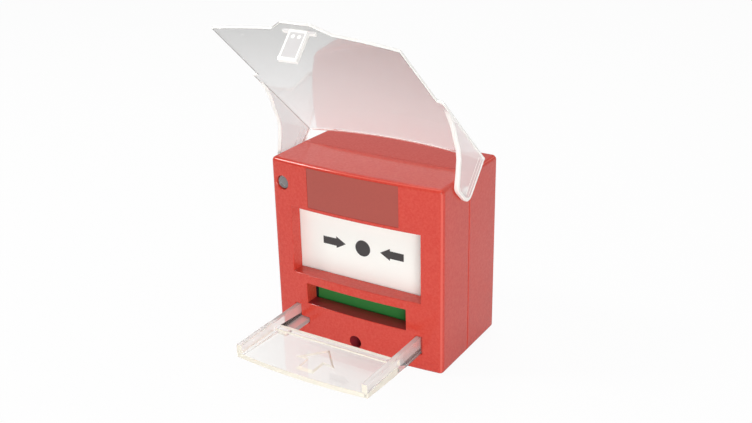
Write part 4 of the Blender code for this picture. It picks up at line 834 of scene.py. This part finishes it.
def reset_key():
    """The key: a plate with a sunk arrow and a ledge, between walls that run on as L-shaped prongs."""
    half = KEY_HALF - KEY_WALL / 2
    front = [(x, KEY_FRONT - KEY_FRONT_BOW * (1 - (x / KEY_HALF) ** 2)) for x in evenly(half)]
    key = slab([*front, (half, PLATE_REAR), (-half, PLATE_REAR)], "Z", PLATE_LOW, PLATE_TOP)
    side_view = [
        (KEY_FRONT, PLATE_LOW - STEP),
        (KEY_RISE, KEY_LOW),
        (KEY_END, KEY_LOW),
        (KEY_END, KEY_TOP),
        (KEY_FRONT, KEY_TOP),
    ]
    for side in SIDES:
        join(key, slab(side_view, "X", *sorted((side * (KEY_HALF - KEY_WALL), side * KEY_HALF))))
        foot_end = (KEY_END - STEP, FOOT_TOP)
        join(key, side_block(side, FOOT_INSIDE, half, (FOOT_START, KEY_LOW + STEP), foot_end))
    ledge_low = (-half, PLATE_REAR - LEDGE, (PLATE_LOW + PLATE_TOP) / 2)
    join(key, block(ledge_low, (half + STEP, PLATE_REAR - STEP, PLATE_TOP + LEDGE_HEIGHT)))
    arrow = slab(mirrored(ARROW)[:-1], "Z", PLATE_LOW - OVER, PLATE_LOW + ARROW_DEPTH)
    for vertex in arrow.data.vertices:
        if vertex.co.z > PLATE_LOW:
            vertex.co.x *= ARROW_TAPER
            vertex.co.y = ARROW_MIDDLE + (vertex.co.y - ARROW_MIDDLE) * ARROW_TAPER
    cut(key, arrow)
    wall_inside = KEY_HALF - KEY_WALL
    end = (KEY_END + OVER, KEY_TOP + OVER)
    for side in SIDES:
        cut(key, side_block(side, KEY_HALF - WAIST, KEY_HALF + OVER, (WAIST_START, KEY_LOW - OVER), end))
        room_low = (PLATE_REAR + PRONG_THINNED, FOOT_TOP + PRONG_THINNED)
        cut(key, side_block(side, wall_inside - OVER, wall_inside + PRONG_THINNED, room_low, end))
        step_end = (STEP_END, KEY_TOP + OVER)
        cut(key, side_block(side, KEY_HALF - RIM, KEY_HALF + OVER, (KEY_FRONT - OVER, PLATE_TOP), step_end))
    soften(key, FINE_ROUND, FINE_STEPS, lambda p: abs(p.z - PLATE_TOP) > NEAR or abs(p.x) < KEY_HALF - OVER)
    key_finish(key)
    return key


def press_panel():
    return soften(block(PANEL_LOW, PANEL_HIGH), PANEL_ROUND, ROUND_STEPS, everywhere)


def print_marks():
    """The dot and two arrows printed on the press panel's front, by name."""
    turns = [i * math.tau / DOT_SIDES for i in range(DOT_SIDES)]
    outlines = {"panel_dot": [(DOT * math.cos(turn), PRINT_H + DOT * math.sin(turn)) for turn in turns]}
    arrow = PRINTED_ARROW + [(x, -h) for x, h in PRINTED_ARROW[:0:-1]]
    for name, side in (("panel_arrow_left", -1), ("panel_arrow_right", 1)):
        outlines[name] = [(side * x, PRINT_H + h) for x, h in arrow]
    return {name: slab(outline, "Y", PRINT_FRONT, PRINT_BACK) for name, outline in outlines.items()}


def status_flag():
    """The flag with the lugs and pins that it tips on."""
    flag = block(FLAG_LOW, FLAG_HIGH)
    for side in SIDES:
        join(flag, side_block(side, LUG_FROM, LUG_TO, LUG_LOW, LUG_HIGH))
        join(flag, rod((side * PIN_FROM, *PIN_AT), (side * PIN_TO, *PIN_AT), FLAG_PIN, SMALL_SIDES))
    return soften(flag, FLAG_ROUND, FINE_STEPS, everywhere)


def title_plate():
    half, low, high = TITLE
    sheet = bowed_sheet(half + TITLE_MARGIN, TITLE_FRONT, TITLE_BACK, low - TITLE_MARGIN, high + TITLE_MARGIN)
    return soften(sheet, TITLE_ROUND, FINE_STEPS, everywhere)


def indicator_lens():
    """The light pipe with its dished front, flange and stem."""
    lens = along(LENS_X, LENS_H, LENS_START, LENS_END, LENS)
    dish_end = (LENS_X, DISH_END, LENS_H)
    cut(lens, rod((LENS_X, 0.0, LENS_H), dish_end, DISH_FRONT, end_diameter=DISH_FLOOR))
    flange = along(LENS_X, LENS_H, FLANGE_START, FLANGE_END, LENS_FLANGE)
    join(lens, flange, along(LENS_X, LENS_H, STEM_START, STEM_END, LENS_STEM, SMALL_SIDES))
    return soften(lens, LENS_ROUND, FINE_STEPS, lambda p: p.y < FLANGE_START)


def cover_screw():
    """The slotted screw that holds the cover to the box."""
    screw = along(0, SCREW_H, HEAD_START, HEAD_END, SCREW_HEAD)
    join(screw, along(0, SCREW_H, SHANK_START, SHANK_END, SCREW_SHANK, SMALL_SIDES))
    soften(screw, HEAD_ROUND, HEAD_STEPS, lambda p: p.y < HEAD_START + NEAR)
    drive_low = (-DRIVE_HALF, HEAD_START - OVER, SCREW_H - DRIVE_REACH)
    return cut(screw, block(drive_low, (DRIVE_HALF, DRIVE_END, SCREW_H + DRIVE_REACH)))


def coil_spring(low, high, turns):
    """A spring of round wire with one closed turn at each end, filling the room between two corners."""
    middle = (low + high) / 2
    radius = (high.x - low.x - SPRING_WIRE) / 2
    first = low.y + SPRING_WIRE / 2
    open_length = high.y - low.y - SPRING_WIRE - 2 * CLOSED_PITCH
    shape = bmesh.new()
    rings = []
    for i in range((turns + 2) * TURN_POINTS + 1):
        turn = i / TURN_POINTS
        opened = min(max(turn - 1, 0), turns)
        depth = first + (turn - opened) * CLOSED_PITCH + opened / turns * open_length
        out = Vector((math.cos(turn * math.tau), 0, math.sin(turn * math.tau)))
        place = Vector((middle.x, depth, middle.z)) + out * radius
        ring = []
        for k in range(WIRE_POINTS):
            spoke = k / WIRE_POINTS * math.tau
            across = out * math.cos(spoke) + Vector((0, math.sin(spoke), 0))
            ring.append(shape.verts.new(place + across * SPRING_WIRE / 2))
        rings.append(ring)
    for ring, following in zip(rings, rings[1:]):
        for k in range(WIRE_POINTS):
            beside = (k + 1) % WIRE_POINTS
            shape.faces.new((ring[k], ring[beside], following[beside], following[k]))
    shape.faces.new(rings[0][::-1])
    shape.faces.new(rings[-1])
    return solid(shape)


def add_springs():
    """The springs: coils that fill the room of the parts they stand for, riding on the housing."""
    for start, turns, joint, travel in SPRINGS:
        for side in ("left", "right"):
            name = f"{start}_{side}"
            low, high = (TO_FRAME.inverted() @ Vector(corner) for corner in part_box(name))
            coil = coil_spring(low, high, turns)
            wire = show(coil, f"{start}_wire_{side}", "housing", "plated_steel", [STEEL], name)
            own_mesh(wire)


def add_camera():
    yaw = Matrix.Rotation(math.radians(CAMERA_YAW), 3, "Z")
    pitch = Matrix.Rotation(math.radians(CAMERA_PITCH), 3, "X")
    roll = Matrix.Rotation(math.radians(CAMERA_ROLL), 3, "Z")
    right, down, ahead = roll @ pitch @ RIGHT_DOWN_AHEAD @ yaw
    data = bpy.data.cameras.new("camera")
    data.sensor_width = SENSOR_WIDTH
    data.lens = CAMERA_LENS
    data.clip_start = CLIP_START
    camera = bpy.data.objects.new("camera", data)
    bpy.context.scene.collection.objects.link(camera)
    turn = Matrix((right, -down, -ahead)).transposed()
    camera.matrix_world = Matrix.Translation(CAMERA_AT) @ turn.to_4x4()
    bpy.context.scene.camera = camera


def blend_numbers(tree, share, first, second):
    """A number between two, by a share from a node."""
    made = tree.nodes.new("ShaderNodeMix")
    tree.links.new(share, made.inputs["Factor"])
    for socket, value in ((made.inputs["A"], first), (made.inputs["B"], second)):
        if isinstance(value, float):
            socket.default_value = value
        else:
            tree.links.new(value, socket)
    return made.outputs["Result"]


def seen_share(tree, in_reflections):
    """1 on rays that the camera sees, itself or through clear pieces, less in reflections, and 0 on light."""
    path = tree.nodes.new("ShaderNodeLightPath").outputs
    seen = maths(tree, "MAXIMUM", path["Is Camera Ray"], path["Is Transmission Ray"])
    seen = maths(tree, "MAXIMUM", seen, maths(tree, "MULTIPLY", path["Is Glossy Ray"], in_reflections))
    return maths(tree, "MULTIPLY", seen, maths(tree, "LESS_THAN", path["Diffuse Depth"], NO_BOUNCE))


def add_world():
    """A plain world: even light, white where it is seen, and dimmer in reflections, most of all in front."""
    world = bpy.data.worlds.new("world")
    world.use_nodes = True
    bpy.context.scene.world = world
    tree = world.node_tree
    back = tree.nodes["Background"]
    back.inputs["Color"].default_value = (1, 1, 1, 1)
    level = spread_over(tree, seen_share(tree, 1.0), 0.0, 1.0, WORLD_LIGHT, 1.0)
    facing = tree.nodes.new("ShaderNodeTexCoord").outputs["Generated"]
    split = tree.nodes.new("ShaderNodeSeparateXYZ")
    tree.links.new(facing, split.inputs[0])
    (start, low), (end, high) = MIRRORED_FROM, MIRRORED_TO
    reflected = spread_over(tree, split.outputs["Y"], start, end, low, high)
    path = tree.nodes.new("ShaderNodeLightPath").outputs
    direct = maths(tree, "LESS_THAN", path["Diffuse Depth"], NO_BOUNCE)
    glossy = maths(tree, "GREATER_THAN", path["Is Glossy Ray"], path["Is Transmission Ray"])
    share = maths(tree, "MULTIPLY", glossy, direct)
    tree.links.new(blend_numbers(tree, share, level, reflected), back.inputs["Strength"])


def add_floor():
    """A pale floor that keeps the object's shadow and is near white where it is seen."""
    shape = bmesh.new()
    bmesh.ops.create_grid(shape, x_segments=1, y_segments=1, size=FLOOR_REACH)
    floor = solid(shape)
    floor.name = "floor"
    floor.location.z = -HEIGHT / 2 * MM
    material, tree, shader, place = start_material("floor")
    shader.inputs["Roughness"].default_value = FLOOR_ROUGHNESS
    shader.inputs["Base Color"].default_value = FLOOR_GREY
    white = node(tree, "ShaderNodeEmission", Strength=1.0)
    away = vector_maths(tree, "DISTANCE", place, KEY_SHADE_AT)
    under = spread_over(tree, away, *KEY_SHADE, UNDER_WHITE, FLOOR_WHITE)
    through = tree.nodes.new("ShaderNodeLightPath").outputs["Is Transmission Ray"]
    level = blend_numbers(tree, through, FLOOR_WHITE, under)
    share = maths(tree, "MULTIPLY", seen_share(tree, FLOOR_MIRRORED), level)
    blend = tree.nodes.new("ShaderNodeMixShader")
    tree.links.new(share, blend.inputs[0])
    tree.links.new(shader.outputs[0], blend.inputs[1])
    tree.links.new(white.outputs[0], blend.inputs[2])
    tree.links.new(blend.outputs[0], tree.nodes["Material Output"].inputs["Surface"])
    floor.data.materials.append(material)


def add_lamp(name, place, aim, size, power, in_reflections):
    data = bpy.data.lights.new(name, "AREA")
    data.shape = "DISK"
    data.size = size
    data.energy = power
    lamp = bpy.data.objects.new(name, data)
    bpy.context.scene.collection.objects.link(lamp)
    lamp.location = place
    lamp.rotation_euler = (Vector(aim) - Vector(place)).to_track_quat("-Z", "Y").to_euler()
    lamp.visible_glossy = in_reflections


for old in list(bpy.data.objects):
    bpy.data.objects.remove(old)

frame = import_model()
nodes = frame["nodes"]

HOUSING_RED = (0.645, 0.068, 0.0445)
RED_GRAIN = {"grain": 1000.0, "relief": 0.15, "spread": 0.02, "speckle": (0.595, 0.044, 0.0275)}
RED = moulded("red_plastic", HOUSING_RED, 0.08, **RED_GRAIN)
BOX_RED = moulded("box_red_plastic", HOUSING_RED, 0.11, **RED_GRAIN)
# a lighter red that paints a highlight along rounded edges and the seam's ledge
HIGHLIGHT_GRAIN = {"grain": 1000.0, "relief": 0.1, "spread": 0.02}
HIGHLIGHT_PAINTED_RED = moulded("highlight_painted_red_plastic", (0.73, 0.115, 0.085), 0.08, **HIGHLIGHT_GRAIN)
# a darker red that paints shade into the screw well and onto the flag tunnel's floor
SHADE_PAINTED_RED = moulded("shade_painted_red_plastic", (0.33, 0.03, 0.04), 0.2, grain=1500.0)
FILM = moulded("title_film", (0.4, 0.074, 0.055), 0.22, grain=1200.0)
WHITE = moulded("white_plastic", (0.95, 0.98, 0.93), 0.3, spread=0.02)
INK = moulded("dark_ink", (0.055, 0.053, 0.053), 0.5, grain=2500.0, spread=0.1)
GREEN = moulded("green_plastic", (0.033, 0.22, 0.046), 0.4)
YELLOW = moulded("yellow_plastic", (0.8, 0.55, 0.02), 0.45)
BLACK = moulded("black_plastic", (0.02, 0.02, 0.02), 0.45, relief=0.12)
GREY = moulded("grey_plastic", (0.3, 0.3, 0.3), 0.45, relief=0.12)
BOARD = moulded("board_laminate", (0.02, 0.13, 0.05), 0.4)
TERMINAL = moulded("terminal_plastic", (0.03, 0.2, 0.08), 0.5)
STEEL = steel("plated_steel", (0.6, 0.6, 0.6), 0.3)
SMOKY = clear("smoky_plastic", (0.5, 0.49, 0.49), 0.12, 0.6)
# painted shade: the lid is greyer towards its free edge and near clear at the hinge
LID_CLEAR = clear("clear_plastic", (0.62, 0.62, 0.615), 0.01, 0.9, hinge_colour=(0.99, 0.99, 0.985))
# painted shade: a darker left edge of the lid
LID_LEFT_SHADE_PAINTED = clear("clear_plastic_left_shade_painted", (0.4, 0.4, 0.39), 0.1, 0.3)
EAR_CLEAR = clear("clear_plastic_ear", (0.99, 0.96, 0.96), 0.02, 0.5)
# painted shade: the far ear is greyer than the near one
EAR_SHADE_PAINTED = clear("clear_plastic_ear_shade_painted", (0.78, 0.79, 0.79), 0.02, 0.75)
# painted light: pale, nearly opaque edges stand in for light carried through the clear sheet
LID_BORDER_LIGHT_PAINTED = clear("clear_plastic_border_light_painted", (0.98, 0.97, 0.93), 0.2, 0.08)
KEY_CLEAR = clear("clear_plastic_key", (0.99, 0.985, 0.97), 0.01, 0.87, bend=KEY_BEND)
KEY_MILKY = clear("clear_plastic_key_wall", (0.93, 0.905, 0.885), 0.03, 0.62, bend=KEY_BEND)
KEY_EDGE = clear("clear_plastic_key_edge", (0.9, 0.86, 0.74), 0.15, 0.1, bend=KEY_BEND)
LID_PARTS = [LID_CLEAR, LID_BORDER_LIGHT_PAINTED, EAR_CLEAR, LID_LEFT_SHADE_PAINTED, EAR_SHADE_PAINTED]
KEY_PARTS = [KEY_CLEAR, KEY_EDGE, KEY_MILKY]

show(front_cover(), "cover_shell", "housing", "red_plastic", [RED, SHADE_PAINTED_RED, HIGHLIGHT_PAINTED_RED], "front_cover")
show(back_box(), "wall_box", "housing", "red_plastic", [BOX_RED, HIGHLIGHT_PAINTED_RED], "back_box")
show(title_plate(), "title_sheet", "housing", "title_film", [FILM], "title_plate")
show(indicator_lens(), "lens_pipe", "housing", "smoky_plastic", [SMOKY], "indicator_lens")
show(cover_screw(), "front_screw", "housing", "plated_steel", [STEEL], "cover_screw")
show(press_panel(), "panel_plate", "press", "white_plastic", [WHITE], "press_panel")
for name, mark in print_marks().items():
    show(mark, name, "press", "black_plastic", [INK])
show(status_flag(), "flag_plate", "flag", "green_plastic", [GREEN], "status_flag")
lid = show(clear_lid(), "lid_shell", "lid", "clear_plastic", LID_PARTS, "clear_lid")
key = show(reset_key(), "key_body", "key", "clear_plastic", KEY_PARTS, "reset_key")
for piece in (lid, key):
    piece.visible_shadow = False
    piece.visible_diffuse = False

add_springs()

INSIDE = {
    "board_screw": STEEL,
    "buzzer": BLACK,
    "chassis_screw": STEEL,
    "circuit_board": BOARD,
    "flag_backing": YELLOW,
    "indicator_led": GREEN,
    "mechanism_chassis": BLACK,
    "microswitch": BLACK,
    "panel_carriage": BLACK,
    "reset_latch": GREY,
    "switch_lever": STEEL,
    "switch_plunger": RED,
    "terminal_block": TERMINAL,
    "terminal_screw": STEEL,
}
for name, obj in nodes.items():
    for start, material in INSIDE.items():
        if name.startswith(start):
            obj.data.materials.clear()
            obj.data.materials.append(material)

add_camera()
add_world()
add_floor()
for lamp_values in LAMPS:
    add_lamp(*lamp_values)
bpy.context.scene.cycles.glossy_bounces = CLEAR_BOUNCES
bpy.context.scene.cycles.transmission_bounces = CLEAR_BOUNCES
bpy.context.scene.cycles.max_bounces = CLEAR_BOUNCES
bpy.context.scene.view_settings.view_transform = "Standard"
